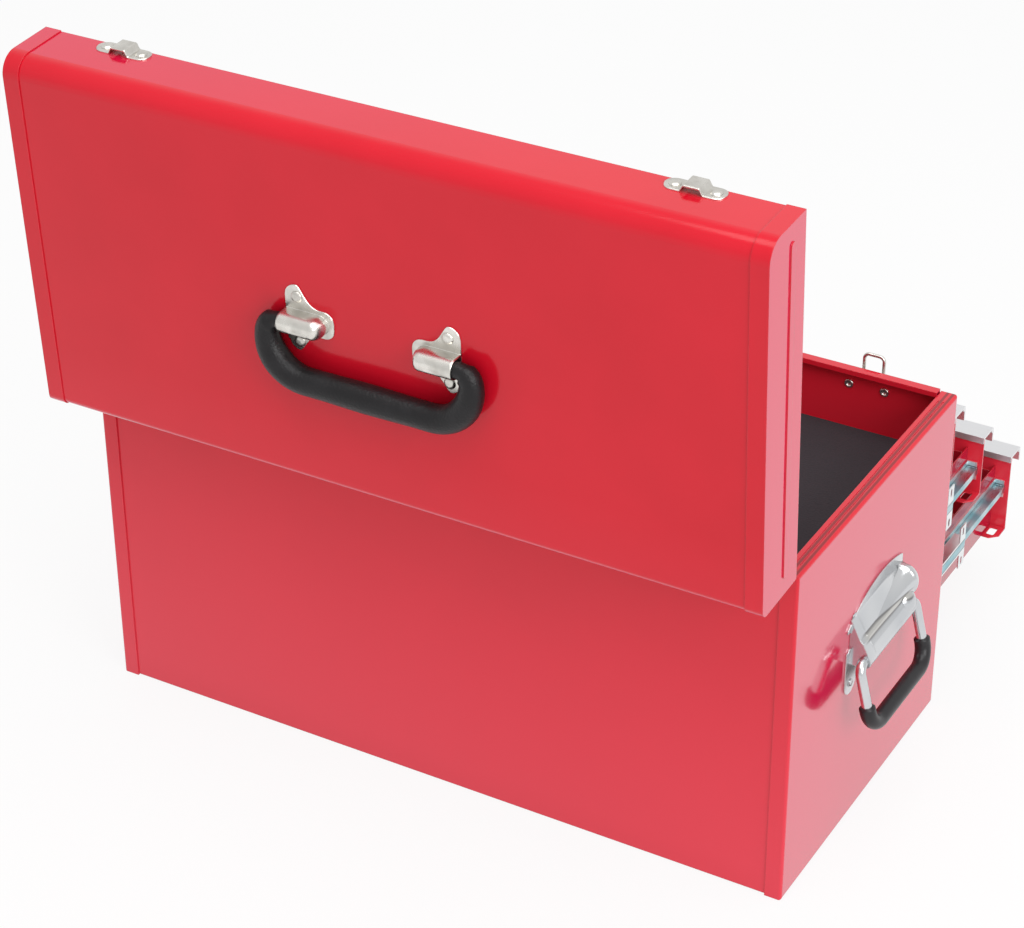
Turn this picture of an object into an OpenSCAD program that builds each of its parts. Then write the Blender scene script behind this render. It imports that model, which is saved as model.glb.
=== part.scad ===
// Portable steel tool chest: hinged lid, top tray and three drawers on ball bearing slides.
// Millimetres. X is the width, the drawers open towards -Y and Z is up.
// The origin is the centre of the cabinet's base.

/* [Cabinet] */
// Width over the side panels
body_w = 523; // [440:1:620]
// Depth over the front and back flanges
body_d = 251; // [240:1:290]
// Height of the side panels
body_h = 251.4; // [248:0.1:290]
// Thickness of the cabinet's sheet steel
sheet = 1; // [0.8:0.1:1.2]
// Width of the folded flanges of the side panels
flange_w = 12; // [10:0.5:16]
// Outer radius of the folded edges
bend_r = 2; // [1.5:0.1:3]
// Height of the fixed front wall's top edge above the side panels
front_rise = 2; // [1:0.1:3]
// Height of the fixed rail below the drawers
rail_h = 46; // [30:0.5:46]
// Depth of the top tray below the rim
tray_depth = 44.9; // [40:0.1:46]
// Thickness of the tray's foam mat
mat_t = 1; // [1:0.1:3]

/* [Lid] */
// How far the end caps stand over the cabinet at each end
lid_over_x = 0.5; // [0.4:0.1:2]
// How far the end caps stand over the cabinet at the front and at the back
lid_over_y = 1.5; // [1:0.1:2]
// Height over the end caps
lid_h = 46.8; // [40:0.1:60]
// Thickness of the lid's sheet, and how far the end caps' flanges stand proud
lid_sheet = 0.8; // [0.6:0.1:1]
// Width of the end caps' flanges
cap_w = 12; // [10:0.5:16]
// Radius of the lid's front edge
lid_front_r = 14; // [8:0.5:18]
// Radius of the lid's back edge
lid_back_r = 6; // [4:0.5:10]
// Gap between the cabinet's rim and the lid's rim
lid_gap = 1.2; // [1.2:0.1:2]
// Angle of the lid, where 0 is closed
lid_open = 93.2; // [0:0.1:93.2]

/* [Hinge] */
// Length of the hinge
hinge_len = 494; // [400:1:498]
// Number of knuckles, the odd ones on the cabinet
knuckles = 21; // [9:2:31]
// Outer radius of a knuckle
knuckle_r = 2.2; // [2:0.05:2.3]
// Radius of the hinge pin
hinge_pin_r = 1.2; // [1:0.05:1.4]
// Thickness of a hinge leaf
leaf_t = 0.5; // [0.4:0.05:0.5]
// Height of a hinge leaf
leaf_h = 15; // [10:0.5:20]

/* [Drawers] */
// Height of the lowest drawer's front
front_h3 = 63.5; // [50:0.5:64]
// Height of the two upper drawers' fronts
front_h12 = 47.2; // [40:0.1:47.6]
// Gap between one drawer's pull and the flange above it
front_gap = 2.5; // [2:0.1:4]
// Top of the upper drawer's pull above the tray floor
pull_above_tray = 6; // [4:0.1:6.5]
// Depth of the cabinet less the depth of a drawer's box
rear_space = 19; // [19:1:50]
// Depth of the front's bottom flange
front_flange = 18; // [10:0.5:20]
// Depth of the aluminium pull
pull_d = 17; // [12:0.5:20]
// Height of the pull's nose
pull_nose = 12; // [8:0.5:14]
// How far drawer 1 stands open
open_1 = 34.8; // [0:0.1:185]
// How far drawer 2 stands open
open_2 = 97.5; // [0:0.1:185]
// How far drawer 3 stands open
open_3 = 161.1; // [0:0.1:185]

/* [Slides] */
// Thickness of a slide between cabinet and drawer
slide_t = 12.3; // [12:0.1:13]
// Height of a slide
slide_h = 17; // [16.5:0.1:18]
// Full travel of a drawer
slide_travel = 185; // [150:1:190]
// Radius of the outer balls
ball_r = 1.1; // [1:0.02:1.1]
// Number of balls in a row
balls = 6; // [4:1:8]
// Distance between neighbouring balls
ball_pitch = 12; // [8:0.5:14]

/* [Latches and handles] */
// Distance of each latch from the middle
latch_x = 197; // [150:1:205]
// Distance between a latch's two rivets
latch_rivet_pitch = 26; // [24:0.5:30]
// Diameter of the latch wire
wire_d = 2.4; // [2:0.1:2.6]
// Width over the wire loop
loop_w = 16.8; // [16:0.1:17.4]
// Width of the carry handle
carry_w = 160; // [140:1:200]
// Distance from the carry handle's pivot to the middle of its grip
carry_reach = 40; // [36:0.5:50]
// Diameter of the carry handle's legs
carry_leg_d = 14.5; // [12:0.1:15]
// Largest diameter of the carry handle's grip
carry_grip_d = 22.5; // [18:0.1:24]
// Distance of the carry handle's pivot from the lid's back edge
carry_a = 122; // [100:1:150]
// Diameter of the side handles' rod
bail_d = 7; // [6:0.1:8]
// Width of a side handle between its legs' middles
bail_w = 90; // [80:1:110]
// Length of a side handle from its pivot
bail_l = 46.4; // [40:0.1:60]
// Outer diameter of the side handles' grip
bail_grip_d = 11; // [10:0.1:13]
// Height of the side handles' pivot
bail_z = 139; // [110:1:180]
// Lean of a side handle at rest
bail_lean = 14; // [14:0.5:90]

/* [Hidden] */
$fn = 48;

// Clearances
eps = 0.01;          // overlap of shapes that are fused
fit = 0.2;           // gap between sheets that only meet
run = 0.05;          // radial running clearance of a pin in its bore
gap = 0.4;           // gap between pieces that pass each other

// Colours
paint = [0.80, 0.07, 0.12];
zinc = [0.78, 0.82, 0.84];
nickel = [0.80, 0.79, 0.76];
alu = [0.86, 0.86, 0.87];
black = [0.07, 0.07, 0.08];
mat_grey = [0.13, 0.12, 0.13];

// Places that follow from the driving sizes
lid_w = body_w + 2 * lid_over_x;
lid_d = body_d + 2 * lid_over_y;
box_d = body_d - rear_space;
half_w = body_w / 2;
half_d = body_d / 2;
inner_x = half_w - sheet;               // inside of a side panel
panel_x = half_w - bend_r;              // half the width of a panel between the side panels
flange_x = half_w - flange_w;           // inner edge of a side panel's flange
wall_y = half_d - sheet;                // outside of the back panel and of the front wall
tray_z = body_h - tray_depth;           // top of the tray floor
front_wall_top = body_h + front_rise;
pin_y = half_d + 3.8;                   // hinge axis
pin_z = body_h + 0.3;
lid_back_y = half_d + lid_over_y;
lid_rim_z = body_h + lid_gap;
lid_top = lid_h - lid_sheet;            // outside of the lid's top plate above its rim
lid_wall = lid_d - lid_sheet;           // outside of the lid's front wall from its back edge

// Curved corner of a profile, cut from the square corner that starts at the origin
module corner_cut(r) {
    difference() {
        translate([-1, -1]) square(r + 1);
        translate([r, r]) circle(r);
    }
}

// Rectangle with round corners about the origin
module rounded_slab(w, h, r) {
    square([w - 2 * r, h], center = true);
    square([w, h - 2 * r], center = true);
    for (sx = [-1, 1], sy = [-1, 1])
        translate([sx * (w / 2 - r), sy * (h / 2 - r)]) circle(r);
}

// Profile in Y and Z, drawn out along X
module along_x(len) {
    rotate([90, 0, 90]) linear_extrude(len, center = true) children();
}

// Profile in X and Z, drawn out along Y
module along_y(len) {
    rotate([90, 0, 0]) linear_extrude(len, center = true) children();
}

// Quarter of a bent rod about the origin, from +X round to +Y
module bend(radius, rod_r) {
    rotate_extrude(angle = 90) translate([radius, 0]) circle(rod_r);
}

// Rod along X from x0 to x1
module rod_x(r, x0, x1) {
    translate([x0, 0, 0]) rotate([0, 90, 0]) cylinder(r = r, h = x1 - x0);
}

// Rod along Y from y0 to y1
module rod_y(r, y0, y1) {
    translate([0, y0, 0]) rotate([-90, 0, 0]) cylinder(r = r, h = y1 - y0);
}

// Domed rivet head that stands on the XY plane
module rivet_head(r, h) {
    dome_r = (r * r + h * h) / (2 * h);
    intersection() {
        translate([0, 0, h - dome_r]) sphere(dome_r);
        cylinder(r = r + 1, h = h + 1);
    }
}

// The cabinet's outer form, inset by the given distance
module cabinet_block(inset) {
    r = bend_r - inset;
    intersection() {
        translate([0, 0, inset]) linear_extrude(body_h - 2 * inset)
            rounded_slab(body_w - 2 * inset, body_d - 2 * inset, r);
        translate([0, 0, body_h / 2]) along_y(body_d)
            rounded_slab(body_w - 2 * inset, body_h - 2 * inset, r);
    }
}

// Rim grooves and the notch beside the hinge
groove_w = 0.9;
groove_deep = 0.5;
groove_from_edge = [3, 6.4];
groove_end = 13;
notch_l = 8;
notch_w = 7;

module side_panel() {
    color(paint) difference() {
        intersection() {
            difference() {
                cabinet_block(0);
                cabinet_block(sheet);
            }
            translate([flange_x, -half_d - 1, -1]) cube([flange_w + 1, body_d + 2, body_h + 2]);
        }
        for (g = groove_from_edge)
            translate([flange_x + g, -half_d + groove_end, body_h - groove_deep])
                cube([groove_w, body_d - 2 * groove_end, groove_deep + 1]);
        translate([flange_x + notch_w / 2 + 0.5, wall_y - notch_l / 2 - fit, body_h - sheet - 0.1])
            linear_extrude(sheet + 1) rounded_slab(notch_w, notch_l, 3);
    }
}

module back_panel() {
    low_top = body_h - sheet - fit;
    mid_x = flange_x - gap;
    color(paint) {
        translate([-panel_x, wall_y - sheet, sheet]) cube([2 * panel_x, sheet, low_top - sheet]);
        translate([-mid_x, wall_y - sheet, low_top - 1])
            cube([2 * mid_x, sheet, body_h - leaf_t - low_top + 1]);
    }
}

rail_lip = 11;                          // depth of the rail's upper edge
base_step = 6;                          // overlap of the base panel's raised side strips

module base_panel() {
    w = 2 * panel_x;
    mid = 2 * (flange_x - fit);
    color(paint) {
        translate([-mid / 2, -wall_y, 0]) cube([mid, 2 * wall_y - sheet, sheet]);
        for (s = [-1, 1]) translate([s * (w / 2 + flange_x - base_step) / 2, -sheet / 2, 1.5 * sheet])
            cube([w / 2 - flange_x + base_step, 2 * wall_y - sheet, sheet], center = true);
        translate([-w / 2, -wall_y, sheet]) cube([w, sheet, rail_h - sheet]);
        translate([-mid / 2, -wall_y, 0]) cube([mid, sheet, rail_h]);
        translate([-flange_x + 1, -wall_y, rail_h - sheet])
            cube([2 * flange_x - 2, rail_lip, sheet]);
    }
}

wall_hem = 6.5;
hem_drop = 4;

module front_top_wall() {
    w = 2 * panel_x;
    low_top = body_h - sheet - fit;
    mid = 2 * (flange_x - gap);
    low_z = tray_z - sheet;
    color(paint) {
        translate([-w / 2, -wall_y, low_z]) cube([w, sheet, low_top - low_z]);
        translate([-mid / 2, -wall_y, low_z]) cube([mid, sheet, front_wall_top - low_z]);
        translate([-mid / 2, -wall_y, front_wall_top - sheet]) cube([mid, wall_hem, sheet]);
        translate([-mid / 2, -wall_y + wall_hem - sheet, front_wall_top - hem_drop])
            cube([mid, sheet, hem_drop]);
    }
}

module tray_floor() {
    w = 2 * (inner_x - fit);
    d = 2 * (wall_y - sheet);
    color(paint) translate([-w / 2, -d / 2, tray_z - sheet]) cube([w, d, sheet]);
}

mat_inset = 1.5;

module tray_mat() {
    w = 2 * (inner_x - mat_inset);
    d = 2 * (wall_y - sheet - mat_inset);
    color(mat_grey) translate([-w / 2, -d / 2, tray_z]) cube([w, d, mat_t]);
}

// Slides: x places on the +X side, from the cabinet inwards
slide_x = flange_x - fit;               // outside of the cabinet member
drawer_x = slide_x - slide_t;           // outside of the drawer's side
member_t = 1;                           // thickness of the cabinet member
member_lip = 9;                         // reach of its raceways
mid_web = 1.9;                          // gap from the slide's outside to the middle member
mid_t = 0.9;
mid_lip = 8.5;
outer_row = slide_h / 2 - member_t - ball_r - run;      // height of the outer ball rows
mid_half = outer_row - ball_r - run;                    // half height of the middle member
inner_ball_r = ball_r * 0.8;
inner_row = mid_half - 0.8 - inner_ball_r - run;
core_half = inner_row - inner_ball_r - run;             // half height of the drawer member's core
slide_drop = 28.5;                      // from a pull's top down to its slide's middle
outer_len = body_d - 25;                // length of the cabinet member
mid_len = outer_len;
inner_len = outer_len + 2;

// Drawer places when closed
front_back_y = -(half_d + 0.7);         // back face of a closed drawer's front
front_y = front_back_y - sheet;
front_x = flange_x - 1;                 // half the width of a front
top_1 = tray_z + pull_above_tray;
top_2 = top_1 - front_h12 - front_gap;
top_3 = top_2 - front_h12 - front_gap;
tops = [top_1, top_2, top_3];
heights = [front_h12, front_h12, front_h3];
opened = [open_1, open_2, open_3];
box_below_pull = 11;                    // from a pull's top down to the box's rim

post_w = 22;                            // width of a slide post along Y
post_fold = 8;                          // depth of its folds
post_ys = [-half_d + 27, half_d - 27];

// Upright channel that carries the slides, open towards the side panel
module slide_post(y) {
    h = tray_z - 3 * sheet;
    translate([slide_x, y - post_w / 2, 2 * sheet]) difference() {
        cube([inner_x - slide_x, post_w, h]);
        translate([sheet, sheet, -1]) cube([inner_x - slide_x, post_w - 2 * sheet, h + 2]);
    }
}

module slide_posts() {
    color(zinc) for (y = post_ys) slide_post(y);
}

stop_plate_w = 10;
mid_start = front_back_y + member_t + 0.5;      // front end of the middle member, closed
member_start = mid_start + stop_plate_w + 1;    // front end of the cabinet member
stop_plate_h = 34;
slot_h = 6.5;
slot_w = 2.6;
slot_z = 12.3;

// Channel profile of a slide member in X and Z: web at x0, raceway lips reaching inwards
module channel(x0, half, web, lip_t, reach) {
    translate([x0 - web, -half]) square([web, 2 * half]);
    for (s = [-1, 1])
        translate([x0 - reach, s > 0 ? half - lip_t : -half]) square([reach, lip_t]);
}

// Cabinet member of one slide on the +X side, with its lips turned over the balls
module outer_member(z) {
    half = slide_h / 2;
    translate([0, member_start + outer_len / 2, z]) difference() {
        along_y(outer_len) {
            channel(slide_x, half, member_t, member_t, member_lip);
            for (s = [-1, 1])
                translate([slide_x - member_lip, s * (half - 0.9) - 0.9])
                    square([member_t, 1.8]);
        }
        for (y = post_ys) translate([0, y - member_start - outer_len / 2, 0])
            rod_x(2, slide_x - 2, slide_x + 1);
    }
}

// Middle member, with the slotted plate at its front end
module mid_member(z) {
    translate([0, mid_start, z]) {
        translate([0, mid_len / 2, 0]) along_y(mid_len)
            channel(slide_x - mid_web, mid_half, mid_t, 0.8, mid_lip);
        translate([slide_x - mid_web - mid_t, 0, 0]) difference() {
            translate([0, 0, -stop_plate_h / 2]) cube([mid_t, stop_plate_w, stop_plate_h]);
            for (s = [-1, 1]) translate([mid_t / 2, stop_plate_w / 2, s * slot_z])
                rotate([0, 90, 0]) linear_extrude(mid_t + 1, center = true)
                    rounded_slab(slot_h, slot_w, slot_w / 2 - eps);
        }
    }
}

tab_w = 8;
base_half = 7;

// Drawer member: flat web on the drawer's side, hollow core in the inner ball rows, front tab
module inner_member(z) {
    core_x = slide_x - mid_web - mid_t - 1;
    translate([0, front_back_y + inner_len / 2, z]) along_y(inner_len) {
        translate([drawer_x, -base_half]) square([member_t, 2 * base_half]);
        difference() {
            translate([drawer_x, -core_half]) square([core_x - drawer_x, 2 * core_half]);
            translate([drawer_x - 1, -core_half + 0.7])
                square([core_x - drawer_x + 0.2, 2 * core_half - 1.4]);
        }
    }
    translate([drawer_x, front_back_y, z - base_half]) cube([tab_w, member_t, 2 * base_half]);
}

cage_len = balls * ball_pitch;
outer_cage_y = -45;                     // front end of the outer cage, closed
inner_cage_y = -50;
cage_t = 0.5;

// Row of balls along Y in a strip with a hole for each
module ball_row(x, z, r, strip_x0, strip_x1) {
    difference() {
        translate([strip_x0, 0, z - cage_t / 2]) cube([strip_x1 - strip_x0, cage_len, cage_t]);
        for (i = [0:balls - 1])
            translate([x, (i + 0.5) * ball_pitch, z - 1]) cylinder(r = r + 0.15, h = 2);
    }
    for (i = [0:balls - 1]) translate([x, (i + 0.5) * ball_pitch, z]) sphere(r, $fn = 24);
}

// Cage with a ball row above and one below the middle member
module outer_cage(z) {
    web_x = slide_x - member_t - 0.2;
    translate([0, outer_cage_y, z]) {
        for (s = [-1, 1])
            ball_row(slide_x - 5, s * outer_row, ball_r, slide_x - 7.5, web_x);
        translate([web_x - cage_t, 0, -outer_row]) cube([cage_t, cage_len, 2 * outer_row]);
    }
}

// Cage with a ball row above and one below the drawer member's core
module inner_cage(z) {
    web_x = slide_x - mid_web - mid_t - 0.2;
    translate([0, inner_cage_y, z]) {
        for (s = [-1, 1])
            ball_row(slide_x - 6.5, s * inner_row, inner_ball_r, slide_x - 8.6, web_x);
        translate([web_x - cage_t, 0, -inner_row]) cube([cage_t, cage_len, 2 * inner_row]);
    }
}

// Share of a drawer's travel that each slide piece makes
mid_share = 0.5;
outer_cage_share = 0.25;
inner_cage_share = 0.75;

module both_sides() {
    children();
    mirror([1, 0, 0]) children();
}

// Place a piece of slide k on both sides, moved with its share of the drawer's travel
module slide_piece(k, share) {
    color(zinc) translate([0, -share * opened[k], 0]) both_sides() children();
}

module slide_outer(k) { slide_piece(k, 0) outer_member(tops[k] - slide_drop); }
module slide_mid(k) { slide_piece(k, mid_share) mid_member(tops[k] - slide_drop); }
module slide_inner(k) { slide_piece(k, 1) inner_member(tops[k] - slide_drop); }
module slide_outer_cage(k) { slide_piece(k, outer_cage_share) outer_cage(tops[k] - slide_drop); }
module slide_inner_cage(k) { slide_piece(k, inner_cage_share) inner_cage(tops[k] - slide_drop); }

box_low_front = 16;                     // from the pull's top down to the box's front wall

module drawer_box(k) {
    low = tops[k] - heights[k] + sheet;
    h = heights[k] - sheet - box_below_pull;
    color(paint) translate([0, front_back_y - opened[k], low]) difference() {
        translate([-drawer_x, 0, 0]) cube([2 * drawer_x, box_d, h]);
        translate([-drawer_x + sheet, sheet, sheet])
            cube([2 * (drawer_x - sheet), box_d - 2 * sheet, h]);
        translate([-drawer_x + sheet, -1, heights[k] - sheet - box_low_front])
            cube([2 * (drawer_x - sheet), sheet + 2, h]);
    }
}

flange_cut = 6;                         // chamfer at the ends of the bottom flange
flange_hole = [6, 10];                  // hole near each end of the flange
flange_hole_in = 7;                     // its middle from the front's end

module drawer_front(k) {
    low = tops[k] - heights[k];
    h = heights[k] - lip_t;
    color(paint) translate([0, -opened[k], low]) {
        translate([-front_x, front_y, 0]) cube([2 * front_x, sheet, h]);
        difference() {
            translate([0, front_y, 0]) linear_extrude(sheet) polygon([
                [-front_x, 0], [front_x, 0], [front_x, front_flange - flange_cut],
                [front_x - flange_cut, front_flange], [-front_x + flange_cut, front_flange],
                [-front_x, front_flange - flange_cut]]);
            for (s = [-1, 1])
                translate([s * (front_x - flange_hole_in), front_y + front_flange / 2, -1])
                    linear_extrude(sheet + 2) rounded_slab(flange_hole[0], flange_hole[1], 1.5);
        }
    }
}

lip_t = 1.5;                            // wall of the aluminium pull
pull_back = 5;                          // depth of the pull's clip behind the front

// Aluminium pull along the top of a front: top plate, nose, and a clip over the front's edge
module drawer_pull(k) {
    color(alu) translate([0, front_y - opened[k], tops[k]]) along_x(2 * front_x) difference() {
        union() {
            translate([-pull_d + lip_t, -lip_t]) square([pull_d - lip_t + 1.9, lip_t]);
            translate([-pull_d + 2, -2]) circle(2);
            translate([-pull_d, -pull_nose + 1]) square([lip_t, pull_nose - 3]);
            translate([-pull_d + lip_t / 2, -pull_nose + 1]) circle(lip_t / 2);
            translate([1 + fit / 2, -pull_back]) square([0.9 - fit / 2, pull_back]);
            translate([-0.9, -pull_back]) square([0.9 - fit / 2, pull_back]);
        }
    }
}

// Lid: local places have the back edge at y = 0, the front at -lid_d, and the rim at z = 0
module lid_place() {
    translate([0, pin_y, pin_z]) rotate([-lid_open, 0, 0])
        translate([0, lid_back_y - pin_y, lid_rim_z - pin_z]) children();
}

module lid_profile(inset) {
    d = lid_d - 2 * inset;
    h = lid_h - inset;
    translate([-lid_d + inset, 0]) difference() {
        square([d, h]);
        translate([0, h]) mirror([0, 1]) corner_cut(lid_front_r - inset);
        translate([d, h]) rotate(180) corner_cut(lid_back_r - inset);
    }
}

// The lid's inside, open below the rim
module lid_void(inset) {
    lid_profile(inset);
    translate([-lid_d + inset, -1]) square([lid_d - 2 * inset, 1 + eps]);
}

module lid_shell() {
    color(paint) lid_place() along_x(lid_w - 2 * lid_sheet) difference() {
        lid_profile(lid_sheet);
        lid_void(2 * lid_sheet);
    }
}

bead_w = 6;
bead_z = 17;
bead_ends = 12;
bead_out = 0.8;

module lid_end() {
    color(paint) lid_place() {
        translate([lid_w / 2 - lid_sheet / 2, 0, 0]) along_x(lid_sheet) lid_profile(0);
        translate([lid_w / 2 - cap_w / 2, 0, 0]) along_x(cap_w) difference() {
            lid_profile(0);
            lid_void(lid_sheet);
        }
        translate([lid_w / 2 + bead_out / 2, -lid_d / 2, bead_z]) along_x(bead_out)
            rounded_slab(lid_d - 2 * bead_ends, bead_w, bead_w / 2 - eps);
    }
}

// Hinge: knuckle i of either leaf along X
knuckle_pitch = hinge_len / knuckles;
knuckle_gap = 0.3;

module knuckle(i) {
    x0 = -hinge_len / 2 + i * knuckle_pitch + knuckle_gap / 2;
    translate([0, pin_y, pin_z]) rod_x(knuckle_r, x0, x0 + knuckle_pitch - knuckle_gap);
}

module pin_bore() {
    translate([0, pin_y, pin_z]) rod_x(hinge_pin_r + run, -hinge_len, hinge_len);
}

// Leaf on the inside of a wall: upright strip, web over the wall's edge, and tongues to the knuckles
module hinge_leaf(first, web_z, wall_in, z0, z1) {
    web_end = pin_y - knuckle_r - gap;
    difference() {
        union() {
            translate([-hinge_len / 2, wall_in - leaf_t, z0]) cube([hinge_len, leaf_t, z1 - z0]);
            translate([-hinge_len / 2, wall_in - leaf_t, web_z])
                cube([hinge_len, web_end - wall_in + leaf_t, leaf_t]);
            for (i = [first:2:knuckles - 1]) {
                x0 = -hinge_len / 2 + i * knuckle_pitch + knuckle_gap / 2;
                translate([x0, web_end - eps, web_z])
                    cube([knuckle_pitch - knuckle_gap, pin_y - web_end, leaf_t]);
                knuckle(i);
            }
        }
        pin_bore();
    }
}

module hinge_body_leaf() {
    color(paint) hinge_leaf(0, body_h - leaf_t, wall_y - sheet, body_h - leaf_h, body_h);
}

module hinge_lid_leaf() {
    web_z = lid_rim_z - leaf_t - 0.3;
    color(paint) lid_place() translate([0, -lid_back_y, -lid_rim_z])
        hinge_leaf(1, web_z, lid_back_y - 2 * lid_sheet, web_z, web_z + leaf_h);
}

module hinge_pin() {
    color(zinc) translate([0, pin_y, pin_z]) rod_x(hinge_pin_r, -hinge_len / 2, hinge_len / 2);
}

// Strikes on the lid's front wall
strike_z = 6.2;
strike_h = 11;
hump_w = 15;
hump_out = 5;
strike_t = 1;

module strike_at_wall() {
    for (s = [-1, 1]) lid_place() translate([s * latch_x, -lid_wall, strike_z])
        rotate([90, 0, 0]) children();
}

module lid_strikes() {
    tab_reach = latch_rivet_pitch + strike_h;
    color(nickel) strike_at_wall() difference() {
        union() {
            linear_extrude(strike_t) rounded_slab(tab_reach, strike_h, 3);
            intersection() {
                rotate([90, 0, 0]) linear_extrude(strike_h, center = true)
                    rounded_slab(hump_w, 2 * hump_out, 4);
                translate([-hump_w, -strike_h, 0]) cube([2 * hump_w, 2 * strike_h, hump_out + 1]);
            }
        }
        rotate([90, 0, 0]) linear_extrude(strike_h + 1, center = true)
            rounded_slab(hump_w - 2 * strike_t, 2 * (hump_out - strike_t), 3);
    }
}

rivet_r = 3;
rivet_h = 1.4;

module strike_rivets() {
    color(nickel) strike_at_wall() for (s = [-1, 1])
        translate([s * latch_rivet_pitch / 2, 0, strike_t]) rivet_head(rivet_r, rivet_h);
}

// Carry handle and its brackets
barrel_in = 27;                         // inner end of a barrel from the middle
barrel_out = 62;
barrel_r = 7.3;
stub_r = 5.5;
carry_up = 7.6;                         // pivot above the lid's top plate
bracket_t = 1.2;
bracket_w = 17;
bracket_l = 43;
bracket_rivet_pitch = 31.5;
bracket_head_r = 4;
carry_lean = asin((carry_grip_d / 2 + 0.32 - carry_up) / carry_reach);

module on_lid_top() {
    lid_place() translate([0, -carry_a, lid_top]) children();
}

module carry_bracket() {
    mid_x = barrel_out - bracket_w / 2;
    translate([mid_x, 0, 0]) linear_extrude(bracket_t) rounded_slab(bracket_w, bracket_l, 8);
    difference() {
        union() {
            translate([barrel_in, -barrel_r, 0])
                cube([barrel_out - barrel_in, 2 * barrel_r, carry_up]);
            translate([0, 0, carry_up]) rod_x(barrel_r, barrel_in, barrel_out);
        }
        translate([0, 0, carry_up]) rod_x(stub_r + run, barrel_in - 1, barrel_out + 1);
    }
}

module carry_brackets() {
    color(nickel) on_lid_top() both_sides() carry_bracket();
}

module carry_bracket_rivets() {
    mid_x = barrel_out - bracket_w / 2;
    color(nickel) on_lid_top() for (s = [-1, 1], t = [-1, 1])
        translate([s * mid_x, t * bracket_rivet_pitch / 2, bracket_t])
            rivet_head(bracket_head_r, 1.8);
}

// Half of the handle on the +X side, flat, with its pivot on the X axis and its grip at +Y
carry_top_bend = 9;
carry_low_bend = 24;

module carry_half() {
    leg_r = carry_leg_d / 2;
    leg_x = carry_w / 2 - leg_r;
    leg_end = carry_reach - carry_low_bend;
    rod_x(stub_r, barrel_in + 0.3, leg_x - carry_top_bend + 1);
    translate([leg_x - carry_top_bend, carry_top_bend, 0]) rotate(-90) bend(carry_top_bend, leg_r);
    translate([leg_x, 0, 0]) rod_y(leg_r, carry_top_bend, leg_end);
    translate([leg_x - carry_low_bend, leg_end, 0]) bend(carry_low_bend, leg_r);
}

// Grip along X, swollen in the middle: an arc turned about X
module carry_grip() {
    leg_r = carry_leg_d / 2;
    rise = carry_grip_d / 2 - leg_r;
    half = carry_w / 2 - leg_r - carry_low_bend;
    arc_half = half - 4;
    arc_r = (arc_half * arc_half + rise * rise) / (2 * rise);
    translate([0, carry_reach, 0]) rotate([0, 90, 0]) rotate_extrude() {
        translate([0, -half]) square([leg_r, 2 * half]);
        intersection() {
            translate([carry_grip_d / 2 - arc_r, 0]) circle(arc_r, $fn = 240);
            translate([0, -half]) square([carry_grip_d, 2 * half]);
        }
    }
}

module carry_handle() {
    color(black) on_lid_top() translate([0, 0, carry_up]) rotate([carry_lean, 0, 0]) {
        both_sides() carry_half();
        carry_grip();
    }
}

// Side handle on the +X side: pivot along Y
bail_out = 11;                          // pivot outside the side panel
bail_r = bail_d / 2;
plate_t = 1.2;
plate_half = 43;
plate_top = 40;                         // top of the plate above the pivot
plate_arc_r = 93;                       // its upper edge, an arc that is highest towards the front
plate_arc_y = -11;
plate_low = 15;                         // bottom of the plate below the pivot
ear_low = 30;
ear_w = 17;
ear_rivet = 22;
neck_r = 8;                             // bite at each end of the plate, above the ears
neck_up = 13;
hood_half = bail_w / 2 - 7;             // half the length of the raised hood over the rod
hood_top = 29;                          // top of the hood's slope above the pivot
hood_wall = 1.5;
eye_r = bail_d / 2 + hood_wall;         // hood's curl round the rod
dome_r = 11;                            // dome at the front end of the hood
dome_at = [6, 6];                       // its middle, out from the panel and above the pivot
top_bend_r = 6;
low_bend_r = 14;
grip_up = 12;                           // how far the grip climbs the legs, from the bottom bar

module side_handle_place() {
    translate([half_w, 0, bail_z]) children();
}

// Flat outline of the bracket in Y and Z about the pivot
module bracket_outline() {
    difference() {
        intersection() {
            translate([plate_arc_y, plate_top - plate_arc_r]) circle(plate_arc_r, $fn = 120);
            translate([-plate_half, -plate_low]) square([2 * plate_half, plate_low + plate_top]);
        }
        for (s = [-1, 1]) translate([s * plate_half, neck_up]) circle(neck_r);
    }
    for (s = [-1, 1]) translate([s * (plate_half - ear_w / 2), -ear_low + ear_w / 2]) {
        circle(ear_w / 2);
        translate([-ear_w / 2, 0]) square([ear_w, ear_low - plate_low]);
    }
}

// Hood over the rod in X and Z: two slopes, and the curl that ends them
module hood_outside() {
    polygon([[0, hood_top], [1, hood_top], [7.5, 15.5], [10, 13], [bail_out + 4.3, 2.6],
        [bail_out, -eye_r], [0, -eye_r]]);
    translate([bail_out, 0]) circle(eye_r);
}

module hood_inside() {
    polygon([[-1, hood_top - 5], [1, hood_top - 5], [6.4, 14], [8.8, 11.6], [bail_out - 1.6, 6.2],
        [bail_out - eye_r, 0.6], [bail_out - eye_r, -eye_r - 1], [-1, -eye_r - 1]]);
}

module side_bracket() {
    color(zinc) side_handle_place() difference() {
        union() {
            rotate([90, 0, 90]) linear_extrude(plate_t) bracket_outline();
            difference() {
                along_y(2 * hood_half) hood_outside();
                along_y(2 * (hood_half - hood_wall)) hood_inside();
            }
            intersection() {
                translate([dome_at[0], dome_r - hood_half - 3, dome_at[1]]) sphere(dome_r);
                translate([0, -hood_half, -dome_r]) cube([2 * dome_r, hood_half, 3 * dome_r]);
            }
        }
        translate([bail_out, 0, 0]) rod_y(bail_r + run, -bail_w, bail_w);
    }
}

module side_rivets() {
    both_sides() side_handle_place() {
        for (s = [-1, 1]) translate([plate_t, s * (plate_half - ear_w / 2), -ear_rivet])
            rotate([0, 90, 0]) rivet_head(rivet_r, rivet_h);
    }
}

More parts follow.
